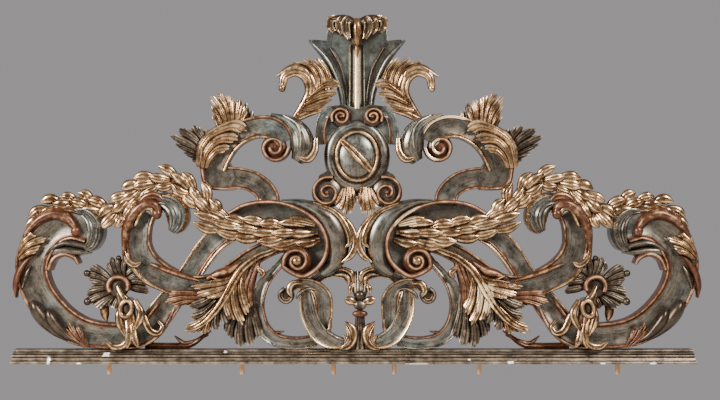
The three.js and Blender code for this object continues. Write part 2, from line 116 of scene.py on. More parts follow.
def layers(bm):
    """What the materials read from each vertex: the ways along and across the carving, and wear together
    with painted highlight.
    """
    return [bm.verts.layers.float.new(name) for name in ("flow", "side", "wear_and_highlight")]


def smooth_row(rows, t):
    """A row on the smooth line through the rows, t of the way along."""
    last = len(rows) - 1
    at = min(max(t, 0), 1) * last
    i = min(int(at), last - 1)
    w = at - i
    b, c = rows[i], rows[i + 1]
    a = rows[i - 1] if i else [2 * x - y for x, y in zip(b, c)]
    d = rows[i + 2] if i + 2 <= last else [2 * y - x for x, y in zip(b, c)]
    return [
        q + 0.5 * w * (r - p + w * (2 * p - 5 * q + 4 * r - s + w * (3 * (q - r) + s - p)))
        for p, q, r, s in zip(a, b, c, d)
    ]


def shell(sections, finish_at, closed=False):
    """A closed skin over sections of (place, flow, side, wear and painted highlight); finish_at gives
    each face's finish.
    """
    around = len(sections[0])
    steps = len(sections) - (0 if closed else 1)
    bm = bmesh.new()
    flow, side, wear_and_highlight = layers(bm)
    bmesh.ops.create_grid(bm, x_segments=around, y_segments=steps, size=1)
    column = {v: round((v.co.x + 1) / 2 * around) for v in bm.verts}
    row = {v: round((v.co.y + 1) / 2 * steps) for v in bm.verts}
    for face in bm.faces:
        i = min(column[v] for v in face.verts)
        j = min(row[v] for v in face.verts)
        face.material_index = finish_at(i, j)
    cells = {}
    for v in list(bm.verts):
        i, j = column[v], row[v]
        cells[i, j] = v
        v.co, v[flow], v[side], v[wear_and_highlight] = sections[j % len(sections)][i % around]
    seam = {cells[around, j]: cells[0, j] for j in range(steps + 1)}
    if closed:
        ends = [(i, j) for i, j in cells if i == around or j == steps]
        seam = {cells[i, j]: cells[i % around, j % steps] for i, j in ends}
    bmesh.ops.weld_verts(bm, targetmap=seam)
    if not closed:
        bmesh.ops.holes_fill(bm, edges=[e for e in bm.edges if e.is_boundary], sides=0)
    bmesh.ops.recalc_face_normals(bm, faces=bm.faces)
    shells[group].append(bm)


def drop(squares):
    """A depth in squares as hundredths of the carving's depth."""
    return squares * SQUARE / DEPTH * 100


# Cross sections, from edge to edge: offset from the middle and drop below the height, both in
# squares, then wear with painted highlight and the finish up to the next point.

# A raised rim, from its outer edge inwards: share of its width, drop in squares and wear, which also
# paints a highlight along the rim's crest
RIM_PROFILE = [
    (0, 1.2, 0), (0.12, 0.35, 0.3), (0.4, 0, 0.75), (0.7, 0.3, 0.3), (0.95, 1.2, 0), (1.12, 1.9, 0),
]
# Where the hollow's floor starts, in widths of the rim, and how low it lies, in squares
FLOOR_START = 1.5
FLOOR_DROP = 2.1


def channel(rim=RIM, rims=(BOLE, BOLE), floor=SILVER, bowl=0.1):
    """A hollow band between two raised rims, which are thinner where the band is narrow."""

    def section(half, high):
        w = min(rim, 0.42 * half)
        inner = half - FLOOR_START * w
        left = [(-half + x * w, d * w / RIM, k, rims[0]) for x, d, k in RIM_PROFILE]
        right = [(half - x * w, d * w / RIM, k, rims[1]) for x, d, k in RIM_PROFILE]
        low = FLOOR_DROP * w / RIM
        middle = [
            (x * inner, low + bowl * inner * (1 - x * x), 0.15, floor)
            for x in (-1, -0.75, -0.5, -0.25, 0, 0.25, 0.5, 0.75, 1)
        ]
        return left + middle + right[::-1]

    return section


def roll(flutes=0, finish=SILVER, edge=None, deep=0.9, bare_and_highlight=0.1):
    """The round back of a scroll's end, with fine flutes along it, and perhaps another finish at its
    edges."""
    count = max(8, 4 * flutes)

    def section(half, high):
        points = []
        for i in range(count + 1):
            x = -1 + 2 * i / count
            fall = 0.3 * high * DEPTH / 100 / SQUARE * (1 - math.sqrt(1 - 0.97 * x * x))
            flute = 0.5 - 0.5 * math.cos(flutes * math.pi * (x + 1))
            coat = finish if edge is None or abs(x) < 0.7 else edge
            # Wear with painted highlight: paler on the ridges between the flutes, or the given amount
            # all over
            wear_and_highlight = 0.45 * (1 - flute) if flutes else bare_and_highlight
            points.append((0.95 * x * half, fall + deep * flute * min(1, half / 6), wear_and_highlight, coat))
        return points

    return section


def fluted(ribs, dome=0.35, groove=0.26, finish=GILT):
    """A leaf: round ribs with sharp grooves between them, on a dome. The dome's fall and the grooves'
    depth are shares of the half width."""
    count = 4 * ribs

    def section(half, high):
        points = []
        for i in range(count + 1):
            x = -1 + 2 * i / count
            ridge = abs(math.sin(math.pi * ribs * (x + 1) / 2))
            depth = groove * half * 2 / ribs * (1 - math.sqrt(ridge))
            # Wear with painted highlight on the round tops of the ribs
            points.append((x * half, dome * half * x * x + depth, 0.72 * ridge**2, finish))
        return points

    return section


def bead(finish):
    """A round bead, rubbed along its top, where a thin painted highlight line runs."""

    def section(half, high):
        return [
            (half * math.sin(a), half * (1 - math.cos(a)), 0.95 * math.cos(a) ** 14, finish)
            for a in (math.radians(d) for d in range(-80, 81, 20))
        ]

    return section


def ribbon(rows, section, steps, back=0.0, closed=False):
    """A section drawn along a smooth line through rows of [u, z, half width, height]. It runs back to
    the wall, or has a back of its own at that share of its height."""
    sections = []
    finishes = []
    path = rows + rows[:1] if closed else rows
    flow = chance.uniform(0, 3)
    before = None
    for j in range(steps if closed else steps + 1):
        t = j / steps
        u, z, half, high = smooth_row(path, t)
        half = max(half, THINNEST)
        ua, za = smooth_row(path, t - NEAR)[:2] if t > NEAR else (u, z)
        ub, zb = smooth_row(path, t + NEAR)[:2] if t < 1 - NEAR else (u, z)
        if closed and not NEAR < t < 1 - NEAR:
            ua, za = smooth_row(path, 1 - NEAR)[:2]
            ub, zb = smooth_row(path, NEAR)[:2]
        length = math.hypot(ub - ua, zb - za)
        across = ((zb - za) / length, -(ub - ua) / length)
        front = section(half, high)
        flow += math.hypot(u - before[0], z - before[1]) * SQUARE if before else 0
        before = (u, z)

        def at(offset, out, wear_and_highlight=0.0):
            """A point of this section, so far from its middle line."""
            spot = place(u + across[0] * offset, z + across[1] * offset, out)
            return (spot, flow, offset * SQUARE, wear_and_highlight)

        points = [at(o, high - drop(d), k) for o, d, k, _ in front]
        (left, left_drop, *_), (right, right_drop, *_) = front[0], front[-1]
        if back:
            lip = min(1.4, 0.5 * half + 0.3)
            low = back * high
            points += [
                at(right * 0.97, max(low, high - drop(right_drop + lip))),
                at(right * 0.5, low),
                at(left * 0.5, low),
                at(left * 0.97, max(low, high - drop(left_drop + lip))),
            ]
        else:
            points += [at(right, 0), at(left, 0)]
        sections.append(points)
        # The last finish goes on round the back.
        finishes = [f for *_, f in front]
        finishes[-1:] = [finishes[-1]] * (len(points) - len(front) + 1)
    shell(sections, lambda i, j: finishes[i], closed)


# A leaf of several lobes: the ribs of a lobe, their grooves, the valley between lobes, how far a lobe
# laps over the next, in hundredths, and the columns of faces across a lobe
LOBE_RIBS = 3
LOBE_GROOVE = 0.24
LOBE_VALLEY = 0.6
LOBE_LAP = 1.4
LOBE_FINE = 12


def fan(lines, high, finish=GILT, notch=0.77, steps=12):
    """A leaf of several lobes: each line of [u, z] runs from the leaf's foot to the tip of a lobe.
    The body is whole near the foot, and round ribs run out to the teeth of the lobes. Past the notch,
    a share of the length, the lobes are apart. The finish is one for all the lobes or one for each."""
    count = len(lines)
    finishes = finish if isinstance(finish, list) else [finish] * count
    shift = chance.uniform(0, 3)

    def spot(a, b):
        """The place that is a lobes across the leaf and b of the way to the tips."""
        near = [smooth_row(line, b) for line in lines]
        if 0 <= a <= count - 1:
            return smooth_row(near, a / (count - 1))
        i, k = (0, 1) if a < 0 else (count - 1, count - 2)
        w = -a if a < 0 else a - (count - 1)
        return [p + (p - q) * w for p, q in zip(near[i], near[k])]

    sections = []
    for j in range(count * LOBE_FINE + 1):
        a = j / LOBE_FINE - 0.5
        lobe = min(count - 1, max(0, math.floor(a + 0.5)))
        x = 2 * (a - lobe)
        ridge = abs(math.sin(math.pi * LOBE_RIBS * (x + 1) / 2))
        shoulder = (1 - min(1, abs(x)) ** 2.4) ** 0.75
        nick = 0.06 * (1 - ridge) * (abs(x) < 0.9)
        reach = notch + (1 - notch) * shoulder - nick
        points = []
        for i in range(steps + 1):
            b = i / steps * reach
            u, z = spot(a, b)
            (ul, zl), (ur, zr) = spot(a - 0.25, b), spot(a + 0.25, b)
            half = math.hypot(ur - ul, zr - zl)
            rise = 0.93 + 0.1 * math.sin(math.pi * min(1, b / 1.15))
            carved = LOBE_GROOVE * 2 / LOBE_RIBS * (1 - math.sqrt(ridge))
            depth = half * (carved + LOBE_VALLEY * abs(x) ** 3)
            edge = max(0, i / steps - TIP_START) / TIP_LENGTH
            # Wear with painted highlight on the ridges, more towards the tips and on one side of each
            # lobe, and on the tips
            wear_and_highlight = max(0.95 * ridge * (0.5 + 0.5 * b) * (0.75 - 0.4 * x), 0.85 * edge * ridge)
            out = high * rise + LOBE_LAP * x * b - drop(depth) + TIP_LIFT * edge**2
            points.append((place(u, z, out), shift + b * 0.1, a * 0.02, wear_and_highlight))
        low = LEAF_BACK * high
        lip = out - drop(1.3)
        for b, behind in ((1, lip), (0.8, (lip + low) / 2), (0.5, low), (0, low)):
            u, z = spot(a, b * reach)
            points.append((place(u, z, max(min(behind, lip), low * 0.9)), shift + b * 0.1, a * 0.02, 0))
        sections.append(points)
    shell(sections, lambda i, j: finishes[min(count - 1, j // LOBE_FINE)])


def leaf(path, half, high, ribs, finish, steps, point=2.6, curl=0.1):
    """One lobe of a leaf along a path of [u, z], swelling from its foot and narrowing to its tip."""
    rows = []
    count = 10
    for k in range(count + 1):
        t = k / count
        u, z = smooth_row(path, t)
        swell = 0.55 + 0.45 * math.sin(math.pi / 2 * min(1, t / 0.6))
        taper = 1 if t < 0.6 else 1 - ((t - 0.6) / 0.4) ** point
        rise = 0.9 + curl * math.sin(math.pi * min(1, t / 1.2))
        rows.append([u, z, max(0.16 * half, half * swell * taper), high * rise])
    ribbon(rows, fluted(ribs, finish=finish), steps, LEAF_BACK)


def coil(u, z, start_radius, end_radius, start, turns, half, high):
    """Rows along a spiral that winds in. Positive turns run from +u to +z."""
    steps = max(6, round(abs(turns) * 12))
    rows = []
    for i in range(steps + 1):
        share = i / steps
        angle = math.radians(start + 360 * turns * share)
        radius = start_radius + (end_radius - start_radius) * share**0.8
        rows.append([u + radius * math.cos(angle), z + radius * math.sin(angle), half, high])
    return rows


def dome(u, z, across, up, base, rise, finish, segments=24, bare_and_highlight=0.2):
    """A round or oval swelling that stands on a base height."""
    bm = bmesh.new()
    flow, side, wear_and_highlight = layers(bm)
    bmesh.ops.create_uvsphere(bm, u_segments=segments, v_segments=segments // 2, radius=1)
    bmesh.ops.rotate(bm, verts=bm.verts, matrix=Matrix.Rotation(math.pi / 2, 3, "X"))
    for v in bm.verts:
        v[flow], v[side], v[wear_and_highlight] = v.co.z * up * SQUARE, v.co.x * across * SQUARE, bare_and_highlight
    scale = (across * SQUARE, rise * DEPTH / 100, up * SQUARE)
    bmesh.ops.scale(bm, verts=bm.verts, vec=scale)
    bmesh.ops.translate(bm, verts=bm.verts, vec=place(u, z, base))
    for face in bm.faces:
        face.material_index = finish
    bmesh.ops.recalc_face_normals(bm, faces=bm.faces)
    shells[group].append(bm)


def ground(points, high):
    """A silvered ground with a closed outline through [u, z] and a rounded edge."""
    fine = 3
    rim = 1.6
    count = len(points) * fine
    loop = points + points[:1]
    bm = bmesh.new()
    flow, side, wear_and_highlight = layers(bm)
    bmesh.ops.create_circle(bm, cap_ends=True, radius=1, segments=count)
    for v in bm.verts:
        turn = math.atan2(v.co.y, v.co.x) / (2 * math.pi) % 1
        i, w = divmod(round(turn * count) % count, fine)
        a, b = loop[i], loop[i + 1]
        w /= fine
        v.co = place(a[0] + (b[0] - a[0]) * w, a[1] + (b[1] - a[1]) * w, high)
    bmesh.ops.recalc_face_normals(bm, faces=bm.faces)
    walls = bmesh.ops.extrude_face_region(bm, geom=list(bm.faces))
    for item in walls["geom"]:
        if isinstance(item, bmesh.types.BMVert):
            item.co.y = 0
    bmesh.ops.recalc_face_normals(bm, faces=bm.faces)
    face = min(bm.faces, key=lambda f: f.calc_center_median().y)
    for thickness, depth in ((rim * 0.3, 0.15), (rim * 0.7, -0.3)):
        bmesh.ops.inset_region(
            bm,
            faces=[face],
            thickness=thickness * SQUARE,
            depth=depth * SQUARE,
            use_even_offset=False,
            use_boundary=True,
        )
    for f in bm.faces:
        f.material_index = SILVER
    middle = face.calc_center_median()
    for v in bm.verts:
        v[flow], v[side], v[wear_and_highlight] = v.co.x, v.co.z - middle.z, 0.1
    shells[group].append(bm)


def both_sides(half):
    """The whole outline of which one half is given, from its lower to its upper middle point."""
    return half + [[-u, z] for u, z in half[-2:0:-1]]


# The pieces of the left half, which the carving mirrors


def outer_scroll():
    """The great scroll at the outer end, with its volute, its leaves and the drops at its foot."""
    ribbon([
        [190, 46, 9.5, 33], [198, 33, 11, 44], [207, 21, 12, 52], [221, 14, 12.8, 57],
        [239, 13.5, 12.8, 60], [259, 14.5, 13.3, 61], [277, 18, 14.5, 62], [294, 27, 15.5, 64],
        [308, 40, 16, 66], [319, 56, 16, 69], [325, 73, 16, 72], [325.5, 89, 16.5, 75],
        [321, 101, 16.5, 77], [312, 113, 15.5, 80], [300, 122, 15, 82], [285, 125.5, 15, 85],
        [268, 119, 12.5, 86],
    ], channel(rim=3.4, bowl=0.16), 100)
    # The lip under the upper end, and the small hook of the inner rim
    ribbon([
        [316, 90, 1, 66], [306, 101, 2.4, 82], [294, 107, 3.4, 87], [281, 106, 4, 88],
        [268, 103, 3.6, 87],
    ], roll(0, SILVER), 30)
    ribbon([
        [320, 87, 5, 60], [307, 97, 6.5, 74], [293, 99, 6, 77], [280, 98, 4.5, 77], [268, 98, 2, 76],
    ], roll(0, SILVER), 24)
    ribbon([
        [309, 80, 2.4, 76], [304, 91, 2.6, 78], [294, 96, 2.6, 78], [284, 93, 2.4, 78],
        [279, 86, 1.4, 76],
    ], bead(BOLE), 24)
    ribbon([
        [286, 139, 2.5, 84], [274, 137.5, 6, 90], [265, 130, 8.6, 96], [262, 118.5, 9.4, 98],
        [265, 107, 8, 95], [272, 101, 4.5, 88],
    ], roll(6, SILVER, deep=1.2), 34)
    # The red-brown leaf that winds from the outer edge into the eye
    ribbon([
        [335, 107, 1.5, 84], [329, 119, 4, 91], [317, 131, 6.2, 97], [302, 136.5, 7.2, 99],
        [290, 132.5, 6.8, 99], [283, 125, 5.4, 97], [280, 119, 4, 92],
    ], roll(0, BOLE, bare_and_highlight=0.45), 34, LEAF_BACK)
    dome(281, 119, 5, 5.4, 84, 12, BOLE, 24, 0.3)
    # Leaves that wrap the outer edge
    fan([
        [[339, 97], [333, 109], [325, 117]],
        [[339, 94], [327, 106], [310, 112]],
        [[338, 91], [328, 98], [318, 101]],
    ], 86)
    ribbon([
        [342, 52, 1, 66], [342, 64, 4, 76], [338, 78, 4.6, 80], [330, 90, 3, 80], [322, 95, 1, 76],
    ], roll(0, BOLE), 24, LEAF_BACK)
    leaf([[335, 62], [331, 74], [326, 84]], 2.6, 84, 1, DARK, 12)
    # The dark twin drops near the foot
    upper_drop = [
        [292, 10, 2, 70], [303, 18, 4.6, 78], [313, 29, 7.4, 87], [320, 39, 7.6, 91],
        [323.5, 46, 5.6, 87], [325, 50, 1.5, 76],
    ]
    lower_drop = [
        [281, 8, 2, 70], [291, 14, 4.6, 79], [300, 23, 7, 88], [306, 32, 7, 92], [308.5, 38, 5, 88],
        [310, 41.5, 1.5, 78],
    ]
    for rows in (upper_drop, lower_drop):
        ribbon(rows, roll(0, DARK, bare_and_highlight=0), 30, LEAF_BACK)
    fan([
        [[273, 2], [285, 12], [296, 22]],
        [[271, 2], [281, 14], [288, 27]],
        [[269, 2], [275, 12], [279, 23]],
    ], 71, BOLE, notch=0.6)


def inner_scroll():
    """The scroll inside the outer one, in an S that ends behind the acanthus."""
    # An S: from its rolled end down and round, then up behind the acanthus
    ribbon([
        [211, 137, 9, 62], [217, 126, 11, 64], [219.5, 114, 12, 65], [219, 102, 12.5, 65],
        [214, 89, 13.5, 64], [204, 78, 14, 63], [189, 69.5, 13, 62], [172, 63.5, 12, 60],
        [154, 64, 10.5, 58], [137, 71, 8.5, 56], [120, 82.5, 9.4, 55], [104, 93.5, 9.4, 56],
        [88, 101.5, 8.6, 58], [73, 105, 7, 60],
    ], channel(), 80)
    ribbon([
        [205, 148, 5, 78], [193, 149, 9.5, 88], [183.5, 143.5, 11.8, 94], [179.5, 134, 12, 96],
        [181, 125, 10, 92], [185, 118, 5, 86],
    ], roll(6, SILVER, GILT, deep=1.2), 34)
    ribbon([
        [234, 92, 1.5, 74], [233, 107, 3.6, 80], [231, 121, 5.2, 86], [224, 136, 6.6, 92],
        [212, 146, 7, 95], [202, 145, 6, 93], [198, 136, 4, 89],
    ], roll(0, BOLE, bare_and_highlight=0.45), 34, LEAF_BACK)
    dome(200, 136, 5, 5.4, 80, 12, BOLE, 24, 0.3)
    leaf([[226, 132], [213, 151], [201, 154], [192, 147]], 4.2, 88, 2, BOLE, 20)
    leaf([[222, 124], [214, 140], [206, 141], [204, 134]], 2.6, 88, 1, GILT, 16)
    leaf([[207, 86], [184, 77], [158, 69]], 3, 68, 1, BOLE, 16)
    leaf([[231, 98], [225, 82], [211, 68], [190, 57]], 2.4, 72, 1, GILT, 18)
    leaf([[234, 102], [231, 91], [223, 85], [216, 88]], 3.4, 76, 2, GILT, 16)


def strap():
    """The strap behind, from the rail up to the volute in the middle."""
    ribbon([
        [217, 12, 12, 34], [207, 24, 13, 36], [194, 41, 13, 38], [179, 61, 11, 40], [167, 79.5, 9.7, 42],
        [157, 95.5, 9.7, 43], [145, 109.5, 10, 44], [131, 119, 9.5, 44], [115, 124, 9, 44],
    ], channel(rim=2.3, rims=(BOLE, GILT)), 48)
    # A gilt rim along the strap, pale on its round top with painted highlight
    ribbon([
        [117, 113, 1.2, 47], [127, 108, 2, 49], [137, 101, 2.2, 49], [148, 88, 2.2, 49],
        [156, 76, 1.6, 47],
    ], roll(0, GILT, bare_and_highlight=0.8), 24)


def central_volute():
    """The great volute beside the middle."""
    edge = [
        [128, 137], [114, 144.5], [97, 148], [78, 147.5], [60, 142], [45, 133], [34.5, 121], [30, 107],
        [32.5, 92], [41.5, 80.5], [55, 74],
    ]
    eye = [60, 89]
    ground(edge + [[74, 82], [74, 104], [114, 114], [126, 124]], VOLUTE_GROUND)
    rim = [[u, z, BEAD + i * 0.05, min(98, 70 + i * 5)] for i, (u, z) in enumerate(edge)]
    winding = coil(*eye, 15, 3.5, -62, 1.6, BEAD + 0.4, 98)
    for i, row in enumerate(winding):
        row[2] -= i / len(winding) * 0.9
    ribbon(rim + winding[1:], bead(BOLE), 130, LEAF_BACK)
    dome(*eye, 4.8, 4.4, 92, 8, GILT)
    dome(*eye, 14.5, 14.5, 72, 14, BOLE)
    # The convex back of the scroll and the gilt leaf along its edge
    ribbon([
        [76, 149, 1.8, 86], [58, 147, 4.6, 92], [41, 140.5, 8, 96], [28.5, 130.5, 11.5, 98],
        [21, 116, 13, 98], [20, 99, 12, 93], [25, 85, 9, 82], [36, 76, 5, 68],
    ], roll(0, SILVER), 40)
    leaf([[44, 147], [22, 138], [10, 122], [7, 108], [12, 103]], 3.2, 100, 2, GILT, 30)
    leaf([[26, 142], [8, 126], [1.5, 108], [6, 95], [15, 88]], 3.8, 99, 2, GILT, 30)


def upper_scroll():
    """The upper scroll with its volute and its sprays of leaves."""
    eye = [83, 202.5]
    ribbon([
        [143.5, 182, 11.8, 63], [141, 190, 12.5, 64], [135, 201, 12.3, 66], [126, 211, 11.5, 69],
        [114.5, 218.5, 11, 72], [101.5, 223, 11, 75], [88.5, 223, 11.5, 78], [78, 218, 11, 80],
        [71.5, 209, 9, 80],
    ], channel(rims=(GILT, BOLE)), 50)
    dome(*eye, 13, 13, 64, 12, BOLE)
    ribbon(coil(*eye, 15, 4, 180, 1.5, BEAD, 86), bead(BOLE), 60)
    ribbon([
        [86, 236, 1.6, 80], [68, 229, 6, 89], [58, 218, 11, 94], [55, 206, 13, 95], [56, 197, 11.5, 92],
        [61, 189, 6, 84],
    ], roll(6, SILVER, deep=0.35), 34)
    ribbon([
        [74, 235, 1, 84], [60, 226, 1.6, 95], [56, 212, 1.6, 98], [57, 202, 1.2, 95],
    ], bead(SILVER), 24, LEAF_BACK)
    leaf([[41, 212], [42, 199], [49, 190.5], [59, 193]], 3.8, 94, 2, GILT, 20)
    # The leaf that lies over the channel
    fan([
        [[159, 183], [157, 202], [146, 216], [124, 225], [110, 219]],
        [[155, 182], [151, 198], [141, 209], [130, 212], [119, 210]],
        [[151, 182], [148, 191], [142, 198], [136, 201], [128, 201]],
    ], 80, steps=18)
    # The upper and the outer spray
    fan([[[120, 214], [112, 232], [110, 247]], [[118, 214], [107, 228], [104, 239]]], 62, DARK)
    fan([
        [[119, 216], [115, 231], [111, 242]],
        [[121, 216], [119, 236], [116, 250]],
        [[124, 215], [126, 239], [128, 255]],
        [[127, 214], [130, 242], [139, 258]],
        [[130, 213], [134, 236], [147, 254]],
        [[132, 212], [138, 230], [146, 243]],
        [[134, 211], [139, 223], [145, 233]],
        [[135, 210], [138, 217], [141, 223]],
    ], 72)
    fan([
        [[147, 200], [147, 212], [149, 221]],
        [[148, 198], [155, 213], [163, 225]],
        [[150, 196], [162, 211], [178, 222]],
        [[151, 194], [167, 205], [187, 214]],
        [[152, 191], [165, 198], [182, 205]],
        [[152, 188], [161, 193], [173, 196]],
        [[152, 185], [157, 187], [164, 188]],
    ], 67, DARK)


def hook():
    """The band below the upper scroll, and the ground where the two meet."""
    ribbon([
        [130, 172.5, 11, 59], [119, 172, 10.7, 56], [106, 169, 10.7, 56], [95.5, 162, 10.7, 57],
        [90, 153, 11.2, 58], [89, 144, 10.7, 60],
    ], channel(rim=2.6), 36)
    ground([
        [156, 198], [155, 182], [152, 167], [146, 162], [127, 162], [122, 172], [126, 184], [132, 198],
        [144, 206],
    ], 56)
    ribbon([
        [122, 161, 1.2, 56], [136, 161.5, 1.9, 60], [147, 163, 2.1, 62], [153, 169, 2.2, 65],
        [155, 180, 2.3, 70], [156.5, 192, 2.2, 76], [154, 203, 1.6, 80],
    ], bead(BOLE), 44, LEAF_BACK)


def cartouche_side():
    """The volutes at the corners of the cartouche, and its fringe."""
    # The upper and the lower volutes, each a band between two rims that winds into its eye
    ribbon([
        [36, 206, 4, 56], [37, 220, 5, 60], [33, 234, 5, 63], [24, 241, 4, 64],
    ], channel(rim=1.6, rims=(BOLE, SILVER)), 30)
    dome(16, 233.5, 11, 11, 56, 14, DARK, 28)
    ribbon(coil(16, 233.5, 10, 2.6, -30, 1.6, 1.7, 78), bead(BOLE), 64)
    dome(16, 233.5, 2.2, 2.2, 70, 8, BOLE, 16)
    dome(30, 157.5, 15.5, 16, 54, 14, SILVER, 32)
    ribbon(coil(30, 157.5, 16.5, 3, 110, -1.65, 1.8, 78), bead(BOLE), 80)
    dome(30, 157.5, 2.6, 2.6, 70, 8, BOLE, 16)
    # The fluted fringe that hangs below
    fan([
        [[14, 162], [17, 154], [24, 147]],
        [[12, 162], [14, 150], [19, 140]],
        [[9, 163], [10, 148], [12, 134]],
        [[7, 163], [6, 150], [5, 137]],
        [[4, 163], [3, 154], [1.5, 145]],
    ], 72, notch=0.8)


def cartouche_middle():
    """The cartouche: its ground, the domed oval in its ring, and the band across it."""
    outline = [
        [0, 242], [14, 246], [29, 244], [39, 233], [39, 209], [28, 206], [26, 182], [38, 175], [45, 160],
        [40, 148], [30, 145], [13, 157], [0, 154],
    ]
    ground(both_sides(outline), CARTOUCHE_GROUND)
    across = 20.5
    up = 24.5
    z = 194
    for more, half, high, section in (
        (6.4, 6.5, 66, roll(0, SILVER)),
        (0, 2, 75, bead(GILT)),
    ):
        ring = []
        for i in range(24):
            angle = i / 24 * 2 * math.pi
            ring_u = (across + more) * math.cos(angle)
            ring_z = z + (up + more) * math.sin(angle)
            ring.append([ring_u, ring_z, half, high])
        ribbon(ring, section, 72, closed=True)
    dome(0, z, across * 0.96, up * 0.96, CARTOUCHE_GROUND + 8, 18, SILVER, 48)
    # The slanting gilt band over the dome, falling from left to right
    band = [
        [-15, 209.5, 3.4, 74], [-7, 202, 4.4, 82], [0, 194.5, 4.8, 84], [7, 187.5, 4.4, 82],
        [14.5, 179.5, 3.4, 74],
    ]
    ribbon(band, fluted(2, dome=0.1, groove=0.35), 24)


def crown_middle():
    """The crown's ground, its middle rib and the calyx."""
    outline = [
        [0, 238], [12, 240], [14.5, 258], [19, 270], [24.5, 283], [33, 296], [47.5, 309.5], [44, 311.5],
        [30.5, 310.5], [30, 321], [25, 330], [14, 334], [0, 330],
    ]
    ground(both_sides(outline), CROWN_GROUND)
    # The pale gilt rib between two mouldings, with a broad painted highlight down it, and the calyx at
    # its head
    ribbon([[0, 242, 4.8, 56], [0, 270, 4.4, 58], [0, 309, 4.2, 64]], roll(0, GILT, bare_and_highlight=1.15), 30)
    ribbon([
        [0, 304, 3, 74], [0, 308, 5, 82], [0, 315, 6.2, 87], [0, 325, 7, 88], [0, 332, 5.5, 80],
    ], roll(0, GILT, bare_and_highlight=0.35), 24)
    for side in (-1, 1):
        ribbon([
            [side * 7.6, 242, 1.6, 50], [side * 7.2, 290, 1.5, 52], [side * 6.8, 306, 1.4, 54],
        ], roll(0, SILVER), 24)


def crown_side():
    """One side of the crown: its flared edge and the curled plume on top."""
    # The flared edge and the moulding inside it
    ribbon([
        [14, 240, 2.4, 50], [16.5, 258, 3, 53], [23, 277, 3.4, 56], [32, 293, 3.6, 59],
        [48, 310.5, 1.4, 62],
    ], roll(0, SILVER), 36, LEAF_BACK)
    ribbon([
        [9, 242, 1.4, 46], [11, 262, 1.8, 47], [16, 283, 2.2, 48], [27, 303, 2, 49],
    ], roll(0, DARK), 30)
    # The curled plume: a round head over hanging fingers, hollow between gilt edges
    dome(15, 328.5, 13.5, 7.4, 66, 22, DARK, 32)
    for path, half in (
        ([[20, 332], [26, 330], [27, 324], [23, 318]], 3.8),
        ([[15, 332], [18, 328], [18, 322], [15, 316]], 3.4),
        ([[8, 332], [11, 328], [11, 320], [8, 311]], 4.4),
    ):
        rows = []
        for k in range(9):
            t = k / 8
            u, z = smooth_row(path, t)
            narrow = 1 if t < 0.8 else 1.3 - 1.6 * (t - 0.6)
            wide = half * (0.75 + 0.25 * math.sin(math.pi * t)) * narrow
            high = 88 + 7 * math.sin(math.pi * min(1, t * 1.4))
            rows.append([u, z, wide, high])
        ribbon(rows, channel(rim=1.4, rims=(GILT, GILT), floor=DARK, bowl=0.7), 18, LEAF_BACK)


def crown_spray():
    """The curling spray beside the crown."""
    ribbon([
        [62, 232, 4, 60], [53, 244, 5.5, 66], [46, 258, 6.5, 71], [49, 272, 6.5, 74], [60, 279, 5.5, 76],
        [72, 274, 4.6, 76], [75, 262, 3.6, 72],
    ], fluted(3), 42, LEAF_BACK)
    leaf([[46, 264], [50, 278], [64, 283], [81, 274]], 3.4, 77, 1, GILT, 24)
    dome(75, 262, 3.6, 4, 66, 8, GILT, 16, 0.5)
    # The leaf behind, up to the left, and the leaf that lies over the crown's edge
    fan([
        [[44, 247], [29, 262], [30, 278], [41, 293]],
        [[46, 250], [34, 264], [38, 282], [53, 293]],
        [[48, 253], [39, 266], [46, 283], [65, 289]],
    ], 71, steps=18)
    fan([
        [[50, 252], [38, 262], [28, 267], [17, 264]],
        [[53, 246], [42, 252], [32, 256], [20, 256]],
        [[57, 240], [45, 243], [36, 246], [25, 250]],
    ], 76, steps=16)
    leaf([[72, 229], [60, 232], [46, 238], [34, 240]], 3.6, 70, 2, GILT, 16)


def garland():
    """Overlapping laurel leaves that point to the outer end."""
    line = [
        [39, 117, 70], [57, 117, 74], [77, 117, 74], [99, 119, 72], [119, 123, 70], [137, 129, 70],
        [150, 141, 72], [162, 156, 74], [179, 168, 72], [199, 168, 72], [217, 161, 78], [231, 150, 82],
        [241, 139, 78], [257, 139, 74], [277, 145, 72], [295, 145, 68], [309, 139, 60], [320, 131, 54],
    ]
    # The stem under the leaves, which are carved in threes along it
    ribbon([[u, z, 4, high - 9] for u, z, high in line], roll(0, GILT), 90)
    stations = 19
    leaves = random.Random(5)
    for i in range(stations):
        t = i / stations
        u, z, high = smooth_row(line, t)
        ub, zb, _ = smooth_row(line, t + 0.01)
        length = math.hypot(ub - u, zb - z)
        du, dz = (ub - u) / length, (zb - z) / length
        # The garland is widest at its root and thins out at its end.
        wide = 2.8 if t < 0.09 else 2.0 if t < 0.3 else 1.0 - 0.3 * max(0, t - 0.8) / 0.2
        for k, turn in enumerate((-1, 1, 0)):
            lean = math.radians(turn * leaves.uniform(8, 26) * (0.4 if t < 0.3 else 1))
            offset = turn * wide * leaves.uniform(2.0, 3.4)
            reach = leaves.uniform(18, 24) * (1.4 if t < 0.3 else 1)
            shift = leaves.uniform(-3, 3) + (5 if k == 2 else 0)
            u0 = u + du * shift + dz * offset
            z0 = z + dz * shift - du * offset
            cu = du * math.cos(lean) + dz * math.sin(lean)
            cz = dz * math.cos(lean) - du * math.sin(lean)
            bow = turn * 2.5 + leaves.uniform(-1, 1)
            path = [
                [u0, z0],
                [u0 + cu * reach / 2 + cz * bow, z0 + cz * reach / 2 - cu * bow],
                [u0 + cu * reach, z0 + cz * reach],
            ]
            rise = high + 4 * (k == 2) + leaves.uniform(-2, 2)
            half = leaves.uniform(4.8, 6.2)
            leaf(path, half, rise, leaves.choice((2, 3, 3)), GILT, 10, point=2, curl=0.16)


